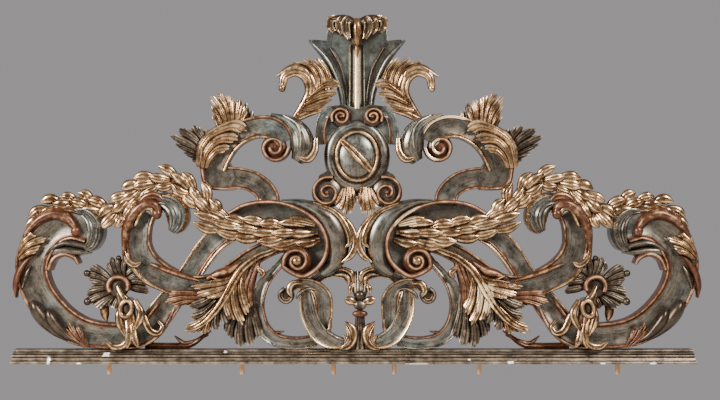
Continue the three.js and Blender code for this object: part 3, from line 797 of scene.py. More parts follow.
def acanthus():
    """The great acanthus leaf that hangs from the volute down to the rail."""
    # The double stem
    ribbon([
        [75, 103, 2.5, 70], [87, 98, 3.2, 76], [100, 93, 3.6, 82], [114, 82, 4.2, 88],
        [122, 71, 4.6, 90], [128, 60, 4.6, 90], [135, 48, 4.2, 88], [144, 36, 3.6, 85], [152, 28, 3, 82],
        [162, 22, 2.2, 79], [173, 19, 0.7, 74],
    ], fluted(2, dome=0.25, groove=0.5), 54, LEAF_BACK)
    # The bright leaf above the stem, and the red-brown and the spoon leaf behind it
    fan([
        [[113, 80], [128, 72], [142, 69], [153, 68]],
        [[116, 76], [131, 68], [148, 66], [166, 64]],
        [[119, 72], [134, 62], [147, 58], [159, 54]],
        [[122, 68], [134, 57], [142, 54], [149, 52]],
    ], 86, steps=16)
    fan([
        [[135, 62], [155, 57], [175, 57], [188, 56]],
        [[135, 58], [155, 53], [175, 52], [192, 48]],
        [[137, 54], [155, 49], [170, 48], [182, 44]],
        [[139, 50], [150, 47], [158, 46], [166, 44]],
    ], 74, BOLE, notch=0.88, steps=14)
    leaf([[150, 71], [139, 76], [128, 79], [116, 88]], 5, 76, 1, BOLE, 18)
    ribbon([
        [148, 74, 1, 70], [138, 70, 1.6, 76], [128, 71, 1.6, 78], [122, 76, 1.4, 78], [117, 84, 0.8, 74],
    ], bead(BOLE), 24, LEAF_BACK)
    # The leaf that wraps the tip: dark above the stem, bright along it and below
    fan([
        [[121, 71], [136, 60], [152, 49], [168, 43]],
        [[125, 65], [141, 50], [154, 38], [167, 34]],
        [[132, 55], [147, 39], [159, 28], [172, 22]],
    ], 79, [DARK, DARK, GILT], notch=0.8, steps=18)
    fan([
        [[138, 46], [149, 30], [158, 20], [168, 17]],
        [[133, 52], [145, 34], [151, 23], [152, 16]],
        [[128, 59], [138, 41], [142, 29], [140, 20]],
        [[124, 66], [131, 50], [133, 38], [130, 27]],
    ], 78, [GILT, GILT, DARK, DARK], notch=0.76, steps=18)
    # The bright lobes that hang below the stem
    fan([
        [[124, 70], [130, 58], [130, 44], [126, 31]],
        [[118, 77], [123, 60], [121, 42], [114, 25]],
        [[110, 86], [116, 68], [114, 52], [108, 38]],
    ], 85, notch=0.84, steps=18)
    fan([
        [[103, 88], [108, 74], [112, 60], [110, 46]],
        [[98, 90], [104, 74], [107, 60], [106, 43]],
    ], 80, BOLE, notch=0.86, steps=16)
    leaf([[104, 88], [99, 82], [94, 77], [98, 72]], 3, 80, 2, GILT, 12)
    # The dark leaves behind, down to the rail
    fan([
        [[116, 56], [121, 40], [127, 26], [130, 14]],
        [[112, 56], [116, 34], [119, 16], [118, 2]],
        [[108, 56], [109, 36], [108, 18], [105, 4]],
        [[104, 56], [103, 38], [100, 24], [97, 13]],
    ], 66, DARK, notch=0.86, steps=16)


def lower_scroll():
    """The scroll under the acanthus, along the rail."""
    ribbon([
        [72, 92, 4, 54], [89, 73, 5, 57], [97, 60, 6.5, 60], [100.5, 46, 7, 62], [99, 32, 7, 63],
        [93.5, 19, 7, 62], [83, 10, 6.5, 60], [69, 6.5, 6, 57], [54, 6.5, 6, 54], [41, 9, 6, 50],
    ], channel(rim=1.8, rims=(SILVER, BOLE), bowl=0.25), 56)
    leaf([[96, 24], [86, 17], [73, 18]], 2, 58, 1, BOLE, 14)


def loops():
    """The two looped bands beside the bud, and the arch above it."""
    # The front band, and the band behind it that ends in a small hook
    ribbon([
        [50, 58, 5, 62], [50, 49, 7.6, 64], [48.5, 38, 8.4, 66], [44, 25, 8.8, 67], [36, 14, 8.6, 66],
        [24, 7.5, 7, 64], [13, 6, 4.5, 60],
    ], channel(rim=2.5, rims=(GILT, SILVER), bowl=0.2), 44)
    ribbon([
        [68, 60, 3.5, 62], [60, 65, 5, 63], [50, 65.5, 6, 62], [40, 61, 6.8, 60], [34, 52, 8.6, 58],
        [33, 40, 8.8, 56], [33, 28, 7.6, 54], [32, 18, 4.5, 52],
    ], channel(rim=2.4, rims=(GILT, GILT), bowl=0.2), 46)
    # A gilt rim along the front band, pale on its round top with painted highlight
    ribbon([
        [57, 52, 1.4, 70], [56, 38, 2.2, 74], [51, 23, 2.4, 75], [42, 10, 2.4, 74], [30, 3, 2.2, 71],
        [17, 2, 1.4, 66],
    ], roll(0, GILT, bare_and_highlight=0.95), 32)
    ribbon([[27, 30, 1.5, 58], [28, 20, 2.2, 60], [33, 15, 2, 60], [37, 18, 1.2, 58]], bead(GILT), 18)
    ribbon([[42, 60, 1, 60], [50, 61, 2, 66], [58, 56, 1.8, 68], [61, 51, 1, 66]], bead(DARK), 18)
    # The rolled end: a ring round a dark hollow, and the gilt tongue that turns into it
    dome(71, 54, 6.6, 7.6, 54, 6, DARK, 20)
    ribbon(coil(71, 54, 7.4, 6, 70, -0.85, 1.7, 68), bead(DARK), 34)
    ribbon(coil(71, 54, 4.6, 4, 30, -0.5, 1, 62), bead(BOLE), 20)
    leaf([[55, 67], [64, 67], [68, 60], [65, 53]], 3.2, 76, 2, GILT, 18)
    # The arch above, which turns in beside the bud
    ribbon([
        [46, 66, 5, 46], [36, 74, 5.2, 47], [24, 77.5, 5, 50], [12, 75, 5, 53], [6, 67, 3.5, 54],
    ], channel(rim=1.8, rims=(GILT, GILT), bowl=0.1), 28)
    leaf([[26, 80], [14, 81], [5, 76], [4, 66]], 2.6, 62, 2, GILT, 18)
    leaf([[22, 75], [13, 75], [8, 70], [9, 63]], 2.2, 64, 1, GILT, 18)


def bud_middle():
    """The bud between the loops; it hangs a little to the right of the middle."""
    axis = 3
    ribbon([[axis, 56, 3, 56], [axis, 26, 3, 56]], roll(0, DARK), 8)
    rows = [
        [axis, 78, 8.5, 52], [axis, 66, 8, 60], [axis, 57, 7, 65], [axis, 51, 5, 64], [axis, 47, 3, 58],
    ]
    ribbon(rows, fluted(4, dome=0.45, finish=DARK), 24)
    dome(axis, 54.5, 5.4, 5, 62, 12, DARK, 24, 0)
    dome(axis, 44.5, 6.6, 4.8, 62, 8, DARK, 24, 0.6)
    dome(axis, 36, 7.8, 3.8, 60, 10, BOLE)
    rows = [[axis, 34, 4.5, 56], [axis, 22, 5.5, 56], [axis, 10, 8, 56], [axis, 0, 11, 56]]
    ribbon(rows, fluted(4, dome=0.3, finish=DARK), 24)
    for side in (-1, 1):
        for path, half, high in (
            ([[5, 66], [9, 62], [10, 55]], 2.6, 62),
            ([[4, 47], [9, 49], [15.5, 51]], 4.6, 72),
            ([[24, 0], [12, 3], [6.5, 12], [7.5, 21], [15, 28]], 4.4, 68),
            ([[20, 1], [12, 7], [11, 14], [14, 24]], 2.4, 72),
            ([[15, 4], [13, 9], [17, 15]], 2, 70),
        ):
            leaf([[axis + side * u, z] for u, z in path], half, high, 2, GILT, 18)


def rosette():
    """A flower of broad ruffled petals; the tips of two of them roll into balls."""
    dome(239.5, 63, 11, 11, 52, 10, DARK)
    petals = [
        (62, [
            [[243, 72], [247, 80], [251, 86]],
            [[240, 74], [244, 84], [247, 93]],
            [[237, 74], [240, 84], [240, 94]],
            [[234, 74], [234, 84], [231, 92]],
        ]),
        (60, [
            [[246, 70], [256, 78], [267, 84]],
            [[247, 67], [259, 73], [274, 77]],
            [[247, 64], [258, 67], [268, 68]],
        ]),
        (59, [
            [[246, 62], [258, 61], [271, 58]],
            [[246, 58], [260, 54], [274, 47]],
            [[244, 55], [254, 48], [261, 42]],
        ]),
        (55, [[[243, 56], [248, 50], [252, 44]], [[239, 54], [242, 47], [244, 41]]]),
        (56, [[[232, 67], [221, 69], [210, 67]], [[232, 63], [221, 61], [208, 59]]]),
        (55, [[[236, 71], [229, 79], [222, 84]], [[233, 69], [224, 74], [216, 77]]]),
    ]
    for high, lines in petals:
        fan(lines, high, DARK, notch=0.84)
    balls = [(271, 76.5, 3.4, 58), (270.5, 48, 3.8, 57), (239, 92, 2.6, 60), (232, 90, 2.4, 58)]
    for u, z, size, high in balls:
        dome(u, z, size, size, high, 9, DARK, 20, 0.35)
    leaf([[249, 50], [254, 41], [252, 28]], 4.6, 50, 1, BOLE, 14)
    # The red-brown ring round the flower's heart, open where the husk comes out
    rows = []
    for k in range(13):
        turn = math.radians(-35 + k * 20)
        rows.append([239.5 + 10 * math.cos(turn), 63.5 + 9.5 * math.sin(turn), 2.7, 72])
    ribbon(rows, bead(BOLE), 40, LEAF_BACK)


def husk():
    """The gilt husk that clasps the scroll and the strap together."""
    ribbon([
        [240, 64, 2, 70], [237, 56, 4, 76], [232, 45, 8, 77], [229, 32, 8, 77], [226, 18, 6, 75],
        [227, 6, 3, 72],
    ], fluted(3), 34, LEAF_BACK)
    ribbon([[240, 64, 1.6, 74], [237, 57, 2.6, 80], [233, 51, 2.4, 84]], bead(GILT), 14, LEAF_BACK)
    ring = []
    for i in range(16):
        angle = i / 16 * 2 * math.pi
        ring.append([231 + 5.8 * math.cos(angle) - math.sin(angle), 41.5 + 8 * math.sin(angle), 2.4, 88])
    ribbon(ring, bead(GILT), 32, closed=True)
    dome(231, 41.5, 4, 6, 74, 6, DARK, 16)
    leaf([[237, 44], [238, 30], [232, 14]], 4, 84, 2, GILT, 16)
    leaf([[222, 50], [216, 36], [222, 20]], 4, 88, 2, GILT, 20)
    ribbon([
        [218, 44, 2, 80], [213, 33, 3.6, 84], [207, 20, 3.8, 84], [199, 17, 3.2, 80], [195, 23, 2.2, 76],
        [199, 29, 1.4, 74],
    ], fluted(2, groove=0.35), 32, LEAF_BACK)
    leaf([[230, 30], [228, 17], [230, 2]], 5, 82, 2, GILT, 16)
    leaf([[224, 26], [223, 13], [219, 3]], 4.2, 82, 2, GILT, 16)
    ribbon([
        [227, 16, 2.5, 80], [233, 5, 3.4, 80], [243, 3, 3.4, 78], [250, 8, 2, 76],
    ], fluted(2), 22, LEAF_BACK)


def tendril():
    """The thin tendril along the rail."""
    ribbon([[214, 3, 3, 30], [180, 2.8, 3, 32], [166, 5, 3, 34], [148, 18, 1.5, 38]], roll(2, BOLE), 30)
    leaf([[150, 14], [172, 6], [184, 13]], 2, 36, 1, BOLE, 16)


LEFT_HALF = (
    outer_scroll, inner_scroll, strap, central_volute, upper_scroll, hook, cartouche_side, crown_side,
    crown_spray, garland, acanthus, lower_scroll, loops, rosette, husk, tendril,
)
for make in LEFT_HALF:
    make()
group = "centre"
cartouche_middle()
crown_middle()
bud_middle()


# Materials


def linear(code):
    """A material's colour from its hex sRGB code."""
    parts = [int(code[i : i + 2], 16) / 255 for i in (1, 3, 5)]
    return (*(c / 12.92 if c <= 0.04045 else ((c + 0.055) / 1.055) ** 2.4 for c in parts), 1)


MULTIPLY = {"operation": "MULTIPLY"}
MULTIPLY_ADD = {"operation": "MULTIPLY_ADD"}
ADD = {"operation": "ADD"}
SUBTRACT = {"operation": "SUBTRACT"}
# A mix of two colours, whose colour comes out of the third output
BLEND = {"data_type": "RGBA"}
BLENDED = 2


def node(tree, kind, settings=None, **links):
    """Adds a node, sets its properties, and links or sets its inputs by name or, as i0, i1 and so on,
    by number. A node given as a link stands for its first output. A map range's inputs 1 to 4 are the
    ends that it maps from and to."""
    new = tree.nodes.new("ShaderNode" + kind)
    for key, value in (settings or {}).items():
        setattr(new, key, value)
    for key, value in links.items():
        numbered = key[0] == "i" and key[1:].isdigit()
        socket = new.inputs[int(key[1:]) if numbered else key.replace("_", " ")]
        if isinstance(value, bpy.types.Node):
            value = value.outputs[0]
        if isinstance(value, bpy.types.NodeSocket):
            tree.links.new(value, socket)
        else:
            socket.default_value = value
    return new


def leafed(name, dark, light, worn_and_highlight, metal, rough, grain, streak=0.5, gesso=False, patina=None):
    """Leaf metal laid over bole on carved wood: toned and darkened with painted shade in the hollows,
    rubbed and given painted highlights on the ridges. The grain is how many clouds of tone there are in
    a metre."""
    material = bpy.data.materials.new(name)
    material.use_nodes = True
    tree = material.node_tree
    tree.nodes.clear()
    spot = node(tree, "TexCoord").outputs["Object"]
    flow, side, wear_and_highlight, hollow = (
        node(tree, "Attribute", {"attribute_name": n}).outputs["Fac"]
        for n in ("flow", "side", "wear_and_highlight", "hollow")
    )
    # Clouds of tone, and streaks that follow the carving, 30 a metre along it and 240 across
    cloud = node(tree, "TexNoise", Vector=spot, Scale=grain, Detail=6.0, Roughness=0.65)
    spots = node(tree, "TexNoise", Vector=spot, Scale=grain * 5, Detail=3.0, Roughness=0.6)
    along = node(tree, "Math", MULTIPLY, i0=flow, i1=30.0)
    across = node(tree, "Math", MULTIPLY, i0=side, i1=240.0)
    lines = node(tree, "CombineXYZ", X=along, Y=across)
    streaks = node(tree, "TexNoise", Vector=lines, Scale=1.0, Detail=3.0, Roughness=0.6)
    tone = node(tree, "Math", MULTIPLY_ADD, i0=cloud, i1=0.7, i2=-0.05)
    tone = node(tree, "Math", MULTIPLY_ADD, i0=spots, i1=0.4, i2=tone)
    tone = node(tree, "Math", MULTIPLY_ADD, i0=streaks, i1=streak, i2=tone)
    tone = node(tree, "MapRange", Value=tone, i1=0.33 + streak * 0.42, i2=0.65 + streak * 0.55)
    mix = node(tree, "Mix", BLEND, i0=tone, i6=linear(dark), i7=linear(light))
    if patina:
        # A cooler patina in broad patches, most of it near the top
        height = node(tree, "SeparateXYZ", Vector=spot).outputs["Z"]
        broad = node(tree, "TexNoise", Vector=spot, Scale=9.0, Detail=3.0)
        above = node(tree, "MapRange", Value=height, i1=0.55, i2=0.8, i4=0.22)
        cool = node(tree, "Math", ADD, i0=broad, i1=above)
        cool = node(tree, "MapRange", Value=cool, i1=0.5, i2=0.75, i4=0.8)
        cooled = node(tree, "Mix", BLEND, i0=tone, i6=linear("#363933"), i7=linear(patina))
        mix = node(tree, "Mix", BLEND, i0=cool, i6=mix.outputs[BLENDED], i7=cooled.outputs[BLENDED])
    # Rubbed ridges and painted highlights: pale leaf where the wear attribute is high
    patch = node(tree, "Math", MULTIPLY_ADD, i0=cloud, i1=1.5, i2=-0.57)
    rub_and_highlight = node(tree, "Math", MULTIPLY_ADD, i0=spots, i1=0.22, i2=patch)
    rub_and_highlight = node(tree, "Math", ADD, i0=wear_and_highlight, i1=rub_and_highlight)
    rub_and_highlight = node(tree, "MapRange", Value=rub_and_highlight, i1=0.75, i2=1.4)
    mix = node(tree, "Mix", BLEND, i0=rub_and_highlight, i6=mix.outputs[BLENDED], i7=linear(worn_and_highlight))
    # Old dirt and toning in the hollows, together with painted shade where the carving is closed in
    dirt_and_shade = node(tree, "Math", MULTIPLY_ADD, i0=spots, i1=0.3, i2=-0.15)
    dirt_and_shade = node(tree, "Math", ADD, i0=hollow, i1=dirt_and_shade)
    dirt_and_shade = node(tree, "MapRange", Value=dirt_and_shade, i1=0.4, i2=1.0)
    mix = node(tree, "Mix", BLEND, i0=dirt_and_shade, i6=mix.outputs[BLENDED], i7=linear("#241a12"))
    roughness = node(tree, "MapRange", Value=cloud, i1=0.3, i2=0.7, i3=rough - 0.08, i4=rough + 0.12)
    shine = node(tree, "MapRange", Value=dirt_and_shade, i3=metal, i4=metal * 0.3)
    relief = node(tree, "Math", MULTIPLY_ADD, i0=streaks, i1=1.0, i2=spots)
    bump = node(tree, "Bump", Strength=0.16, Distance=0.0004, Height=relief)
    if gesso:
        # Losses that bare the white ground
        chip = node(tree, "Attribute", {"attribute_name": "chip"}).outputs["Fac"]
        mix = node(tree, "Mix", BLEND, i0=chip, i6=mix.outputs[BLENDED], i7=linear("#e6dfd0"))
        left = node(tree, "Math", SUBTRACT, i0=1.0, i1=chip)
        shine = node(tree, "Math", MULTIPLY, i0=shine, i1=left)
    colour = mix.outputs[BLENDED]
    shader = node(
        tree, "BsdfPrincipled", Base_Color=colour, Metallic=shine, Roughness=roughness, Normal=bump
    )
    node(tree, "OutputMaterial", Surface=shader)
    return material


# Silver leaf, laid over bole, toned brown and tarnished: dark and mottled in the hollows with painted
# shade, with a grey gleam on the rounds partly painted as highlight and a cooler patina in broad patches
silver = leafed(
    "tarnished_silver_leaf", "#302b24", "#746a5c", "#d3c2a4", metal=0.85, rough=0.3, grain=34,
    streak=0.9, patina="#878d85",
)
# Gold leaf, burnished, toned and rubbed: bright warm ridges with painted highlights over brown hollows
# with painted shade
gilt = leafed("toned_gold_leaf", "#3d2819", "#a07c58", "#ffe2b2", metal=0.85, rough=0.25, grain=45)
# Red-brown bole where the leaf is rubbed off the rims: a dull sheen with pale remains of leaf, partly
# painted highlight, and painted shade in the hollows
bole = leafed("rubbed_bole", "#28150b", "#653b22", "#c09c70", metal=0.5, rough=0.34, grain=50)
# Leaf under heavy toning, on the petals and the leaves behind: dark brown with a faint gleam, partly
# painted highlight, and painted shade in the hollows
dark = leafed("dark_toned_leaf", "#231a13", "#4f4234", "#a08c74", metal=0.75, rough=0.32, grain=40)
# Bare old wood on the back: dull brown, with its grain along the carving and painted shade in its
# hollows
wood = leafed(
    "bare_old_wood", "#3a2a1d", "#6e5238", "#846648", metal=0.0, rough=0.75, grain=20, streak=0.9
)
FINISHES = (silver, gilt, bole, dark, wood)


def as_object(bm, name, collection, materials=FINISHES):
    """Turns a bmesh into an object in a collection, with its materials."""
    mesh = bpy.data.meshes.new(name)
    bm.to_mesh(mesh)
    bm.free()
    for material in materials:
        mesh.materials.append(material)
    made = bpy.data.objects.new(name, mesh)
    collection.objects.link(made)
    return made


def evaluated(thing):
    """An object's mesh with its modifiers applied, as a bmesh."""
    mesh = bpy.data.meshes.new_from_object(thing.evaluated_get(bpy.context.evaluated_depsgraph_get()))
    bm = bmesh.new()
    bm.from_mesh(mesh)
    bpy.data.meshes.remove(mesh)
    return bm


def joined(first, others, operation):
    """The first object united with a collection of others, or cut by them, as a bmesh. The objects
    themselves are deleted."""
    change = first.modifiers.new("join", "BOOLEAN")
    change.operation = operation
    change.operand_type = "COLLECTION"
    change.collection = others
    change.solver = "MANIFOLD"
    bm = evaluated(first)
    for used in [first, *others.objects]:
        mesh = used.data
        bpy.data.objects.remove(used)
        bpy.data.meshes.remove(mesh)
    bpy.data.collections.remove(others)
    return bm


def fused(bms, name):
    """One closed skin around all the shells."""
    scene = bpy.context.scene.collection
    others = bpy.data.collections.new(name + "_others")
    scene.children.link(others)
    first = as_object(bms[0], name + "_first", scene)
    for i, bm in enumerate(bms[1:]):
        as_object(bm, f"{name}_{i}", others)
    return joined(first, others, "UNION")


def hollows(bm, reach=0.035, rays=14):
    """Stores for each vertex how closed in it is, from 0 in the open to 1 in a deep hollow.
    The rays start a little clear of the skin and look as far as the reach, in metres."""
    tree = BVHTree.FromBMesh(bm)
    layer = bm.verts.layers.float.new("hollow")
    ways = []
    for k in range(rays):
        up = 1 - (k + 0.5) / rays
        flat = math.sqrt(1 - up * up)
        turn = k * math.pi * (3 - math.sqrt(5))
        ways.append(Vector((flat * math.cos(turn), flat * math.sin(turn), up)))
    clear = 0.0006
    # A wall at the very end of the reach counts for less than one close by.
    fade = 0.6
    for v in bm.verts:
        lift = v.normal.to_track_quat("Z", "Y")
        start = v.co + v.normal * clear
        blocked = 0.0
        for way in ways:
            place_hit, _, _, distance = tree.ray_cast(start, lift @ way, reach)
            if place_hit is not None:
                blocked += 1 - distance / reach * fade
        v[layer] = blocked / rays


def thinned(bm, most):
    """The same skin with at most so many triangles; the flattest places lose theirs first."""
    count = len(bm.faces)
    full = as_object(bm, "full", bpy.context.scene.collection)
    fewer = full.modifiers.new("fewer", "DECIMATE")
    fewer.ratio = min(1, most / count)
    less = evaluated(full)
    bpy.data.objects.remove(full)
    bmesh.ops.triangulate(less, faces=less.faces)
    less.normal_update()
    return less


def largest_skin(bm):
    """Drops the small skins that the union leaves round hollows inside the wood."""
    left = set(bm.verts)
    skins = []
    while left:
        queue = [left.pop()]
        skin = queue[:]
        while queue:
            for edge in queue.pop().link_edges:
                for v in edge.verts:
                    if v in left:
                        left.remove(v)
                        skin.append(v)
                        queue.append(v)
        skins.append(skin)
    skins.sort(key=len)
    small = [v for skin in skins[:-1] for v in skin]
    bmesh.ops.delete(bm, geom=small, context="VERTS")


def carving():
    """The whole carving: the left half, its mirror image and the pieces in the middle, as one skin."""
    half = fused(shells["side"], "half")
    other = half.copy()
    bmesh.ops.scale(other, verts=other.verts, vec=(-1, 1, 1))
    bmesh.ops.reverse_faces(other, faces=other.faces)
    whole = fused([half, other, *shells["centre"]], "whole")
    # The carving is flat where it stands on the rail.
    bmesh.ops.bisect_plane(
        whole,
        geom=[*whole.verts, *whole.edges, *whole.faces],
        plane_co=(0, 0, FOOT),
        plane_no=(0, 0, -1),
        clear_outer=True,
    )
    bmesh.ops.holes_fill(whole, edges=[e for e in whole.edges if e.is_boundary], sides=0)
    bmesh.ops.triangulate(whole, faces=whole.faces)
    whole = thinned(whole, MOST_TRIANGLES)
    largest_skin(whole)
    for face in whole.faces:
        if face.normal.y > BACKWARD:
            face.material_index = WOOD
    # How closed in each place is, which the materials paint as shade and dirt
    hollows(whole)
    wear_and_highlight = whole.verts.layers.float["wear_and_highlight"]
    for left, right, low, high in BARE_PATCHES:
        for v in whole.verts:
            u = v.co.x / SQUARE
            z = (v.co.z - FOOT) / SQUARE
            if left < u < right and low < z < high and v[wear_and_highlight] > RUBBED:
                v[wear_and_highlight] = BARE
                for face in v.link_faces:
                    if face.material_index == BOLE:
                        face.material_index = GILT
    made = as_object(whole, "carving", bpy.context.scene.collection)
    made.data.shade_smooth()
    made.data.set_sharp_from_angle(angle=CARVED_EDGE)
    return made


made = carving()
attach(made, "root")
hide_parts("carved_cresting")


# The moulded rail, from the bottom up: share of the depth, share of the height and wear, which dents the
# mouldings and paints highlights on them
RAIL_PROFILE = [
    (0.98, 0.0, 0.6), (1.0, 0.03, 0.9), (1.0, 0.1, 0.3), (1.0, 0.16, 0.8), (0.985, 0.19, 0.4),
    (0.915, 0.2, 0), (0.9, 0.23, 0), (0.925, 0.26, 0.5), (0.907, 0.33, 0.1), (0.893, 0.4, 0.1),
    (0.885, 0.45, 0.1), (0.85, 0.48, 0), (0.86, 0.505, 0), (0.925, 0.53, 0.4), (0.942, 0.57, 0.8),
    (0.94, 0.61, 0.6), (0.92, 0.64, 0.2), (0.86, 0.655, 0), (0.8, 0.68, 0), (0.845, 0.71, 0.5),
    (0.82, 0.76, 0.1), (0.806, 0.8, 0.5), (0.76, 0.82, 0), (0.74, 0.84, 0), (0.768, 0.87, 0.6),
    (0.768, 0.93, 0.2), (0.765, 0.97, 0.6), (0.745, 1.0, 0.4),
]
# How far the mouldings stand back at the rail's ends, as a share of how far they do in front
RAIL_RETURN = 0.4
RAIL_STATIONS = 640
CHIP_DEPTH = 0.0014
DENT_DEPTH = 0.004
# How many ragged bits a chip's edge has in a metre, and how many dents the mouldings have
CHIP_BITS = 400
DENTS = 160
# Losses that bare the gesso: place along the rail and half length in metres, then the lower and
# the upper share of the height
CHIPS = [
    (-0.669, 0.009, 0.6, 0.76), (-0.823, 0.004, 0.02, 0.5), (-0.742, 0.007, 0.0, 0.12),
    (0.16, 0.032, 0.0, 0.05), (0.41, 0.008, 0.08, 0.2), (0.655, 0.007, 0.0, 0.08),
    (0.788, 0.009, 0.0, 0.12), (-0.352, 0.004, 0.82, 0.9), (0.3, 0.003, 0.3, 0.36),
]


def rail_sections():
    """Sections of the rail from end to end, of (place, flow, side, wear, chip)."""
    low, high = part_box("base_rail")
    depth = -low[1]
    height = high[2] - low[2]
    sections = []
    for j in range(RAIL_STATIONS + 1):
        t = j / RAIL_STATIONS
        row = []
        for out, up, wear_and_highlight in RAIL_PROFILE:
            inset = depth * (1 - out) * RAIL_RETURN
            x = low[0] + inset + (high[0] - low[0] - 2 * inset) * t
            z = low[2] + height * up
            chip = 0.0
            for middle, half, bottom, top in CHIPS:
                ragged = noise.noise(Vector((x * CHIP_BITS, up * 9, middle * 50)))
                near = 1 - abs(x - middle) / (half * (1 + 0.5 * ragged))
                if near > 0 and bottom - 0.03 <= up + 0.03 * ragged <= top + 0.03:
                    chip = max(chip, min(1, near * 4))
            nick = noise.noise(Vector((x * DENTS, up * 30, 3.7)))
            dent = max(0, nick - 0.45) * DENT_DEPTH * wear_and_highlight
            y = -depth * out + CHIP_DEPTH * chip + dent
            row.append((Vector((x, y, z)), x, up * height, wear_and_highlight if chip < 0.5 else 0.0, chip))
        x0 = row[-1][0].x
        x1 = row[0][0].x
        row.append((Vector((x0, 0, high[2])), x0, height, 0, 0))
        row.append((Vector((x1, 0, low[2])), x1, 0, 0, 0))
        sections.append(row)
    return sections


# The holes that the dowels stand in, a little wider and deeper than the dowels
HOLE_RADIUS = 0.0063
HOLE_LENGTH = 0.0446


def rail_piece():
    """The moulded rail with its six blind holes."""
    global group
    rows = rail_sections()
    group = "rail"
    shells[group] = []
    shell([[point[:4] for point in row] for row in rows], lambda i, j: 0)
    bm = shells[group][0]
    chips = bm.verts.layers.float.new("chip")
    wanted = {tuple(round(c, 6) for c in p[0]): p[4] for row in rows for p in row if p[4]}
    for v in bm.verts:
        v[chips] = wanted.get(tuple(round(c, 6) for c in v.co), 0)
    scene = bpy.context.scene.collection
    holes = bpy.data.collections.new("holes")
    scene.children.link(holes)
    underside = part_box("base_rail")[0][2]
    for i in range(1, 7):
        low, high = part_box(f"dowel_{i}")
        drill = bmesh.new()
        bmesh.ops.create_cone(
            drill,
            cap_ends=True,
            segments=40,
            radius1=HOLE_RADIUS,
            radius2=HOLE_RADIUS,
            depth=HOLE_LENGTH,
        )
        middle = ((low[0] + high[0]) / 2, (low[1] + high[1]) / 2, underside)
        bmesh.ops.translate(drill, verts=drill.verts, vec=middle)
        as_object(drill, f"hole_{i}", holes, (rail_finish,))
    whole = as_object(bm, "rail_whole", scene, (rail_finish,))
    bored = joined(whole, holes, "DIFFERENCE")
    # How closed in each place is, which paints shade and dirt in the rail's grooves
    hollows(bored, reach=0.012)
    made = as_object(bored, "moulded_rail", scene, (rail_finish,))
    made.data.shade_smooth()
    made.data.set_sharp_from_angle(angle=MOULDED_EDGE)
    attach(made, "root")
    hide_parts("base_rail")


def raw_wood():
    """Unfinished softwood, turned: pale and dull, with fine grain along the dowel."""
    material = bpy.data.materials.new("raw_dowel_wood")
    material.use_nodes = True
    tree = material.node_tree
    tree.nodes.clear()
    spot = node(tree, "TexCoord").outputs["Object"]
    grain = node(tree, "Mapping", Vector=spot, Scale=(900, 900, 40))
    lines = node(tree, "TexNoise", Vector=grain, Scale=1.0, Detail=3.0)
    tone = node(tree, "MapRange", Value=lines, i1=0.3, i2=0.7)
    mix = node(tree, "Mix", BLEND, i0=tone, i6=linear("#8a5a32"), i7=linear("#cfa06c"))
    bump = node(tree, "Bump", Strength=0.4, Distance=0.0003, Height=lines)
    shader = node(tree, "BsdfPrincipled", Base_Color=mix.outputs[BLENDED], Roughness=0.7, Normal=bump)
    node(tree, "OutputMaterial", Surface=shader)
    return material


DOWEL_RADIUS = 0.006
DOWEL_BEVEL = 0.0008
DOWEL_RAGGED = 0.0006


def dowels():
    """The round dowels under the rail, with softly broken lower edges."""
    dowel_wood = raw_wood()
    for i in range(1, 7):
        low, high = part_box(f"dowel_{i}")
        bm = bmesh.new()
        length = high[2] - low[2]
        bmesh.ops.create_cone(
            bm, cap_ends=True, segments=32, radius1=DOWEL_RADIUS, radius2=DOWEL_RADIUS, depth=length
        )
        foot = [e for e in bm.edges if all(v.co.z < 0 for v in e.verts)]
        bmesh.ops.bevel(
            bm, geom=foot, offset=DOWEL_BEVEL, segments=2, profile=0.5, affect="EDGES", material=-1
        )
        for v in bm.verts:
            if v.co.z < 0:
                v.co.z += DOWEL_RAGGED * noise.noise(v.co * 300 + Vector((i, 0, 0)))
        middle = [(a + b) / 2 for a, b in zip(low, high)]
        bmesh.ops.translate(bm, verts=bm.verts, vec=middle)
        made = as_object(bm, f"round_dowel_{i}", bpy.context.scene.collection, (dowel_wood,))
        made.data.shade_smooth()
        made.data.set_sharp_from_angle(angle=CARVED_EDGE)
        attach(made, "root")
        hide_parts(f"dowel_{i}")


# The rail's leaf, toned and rubbed, with painted shade in the grooves and painted highlights on the
# mouldings: greyer than the carving, with losses down to the white gesso
rail_finish = leafed(
    "toned_rail_leaf", "#32281f", "#7a6956", "#a8977f", metal=0.7, rough=0.34, grain=30, streak=0.9,
    gesso=True,
)
rail_piece()
dowels()

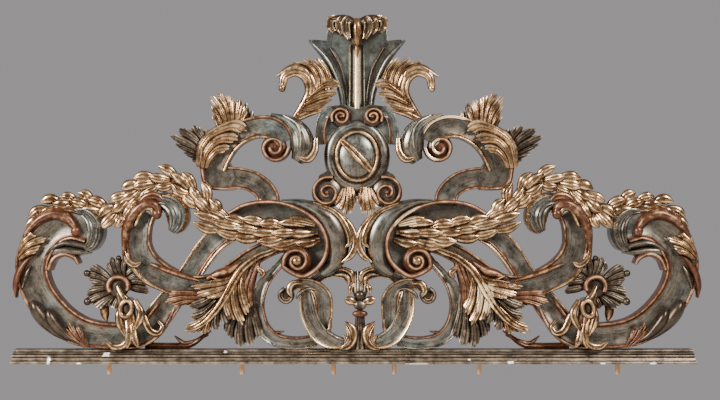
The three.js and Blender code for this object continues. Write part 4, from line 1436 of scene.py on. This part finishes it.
# The floor, well below the overdoor, and the studio light
FLOOR_LEVEL = -0.6
FLOOR_HALF = 3
floor_mesh = bmesh.new()
bmesh.ops.create_grid(floor_mesh, x_segments=1, y_segments=1, size=FLOOR_HALF)
paint = bpy.data.materials.new("pale_floor_paint")
paint.use_nodes = True
coat = paint.node_tree.nodes["Principled BSDF"].inputs
coat["Base Color"].default_value = linear("#d9d7d3")
coat["Roughness"].default_value = 0.8
floor = as_object(floor_mesh, "floor", bpy.context.scene.collection, (paint,))
floor.location = (0, 0, FLOOR_LEVEL)


def lamp(name, spot, target, size, power):
    """A rectangular lamp of so many watts that looks at the target."""
    light = bpy.data.lights.new(name, "AREA")
    light.shape = "RECTANGLE"
    light.size, light.size_y = size
    light.energy = power
    made = bpy.data.objects.new(name, light)
    made.location = spot
    made.rotation_euler = (Vector(target) - Vector(spot)).to_track_quat("-Z", "Y").to_euler()
    bpy.context.scene.collection.objects.link(made)


MIDDLE = (0, 0, 0.45)
LAMP_SIZE = (0.7, 1.0)
lamp("left_window", (-2.6, -2.3, 1.5), MIDDLE, LAMP_SIZE, 310)
lamp("right_window", (2.0, -2.5, 2.3), MIDDLE, LAMP_SIZE, 220)

world = bpy.data.worlds.new("studio")
bpy.context.scene.world = world
world.use_nodes = True
backdrop = world.node_tree.nodes["Background"].inputs
backdrop["Color"].default_value = linear("#9b989a")
backdrop["Strength"].default_value = 1.0

# The camera looks straight at the carving from far off. The photo's frame is VIEW_WIDTH across at the
# plane of the carving's middle depth, MID_DEPTH before the wall.
FAR = 6.0
CAMERA_ACROSS = 0.008
CAMERA_HEIGHT = 0.419
SENSOR = 36
VIEW_WIDTH = 1.918
MID_DEPTH = 0.08
camera_data = bpy.data.cameras.new("camera")
camera = bpy.data.objects.new("camera", camera_data)
bpy.context.scene.collection.objects.link(camera)
camera.location = (CAMERA_ACROSS, -FAR, CAMERA_HEIGHT)
camera.rotation_euler = (math.pi / 2, 0, 0)
camera_data.lens = SENSOR * (FAR - MID_DEPTH) / VIEW_WIDTH
bpy.context.scene.camera = camera
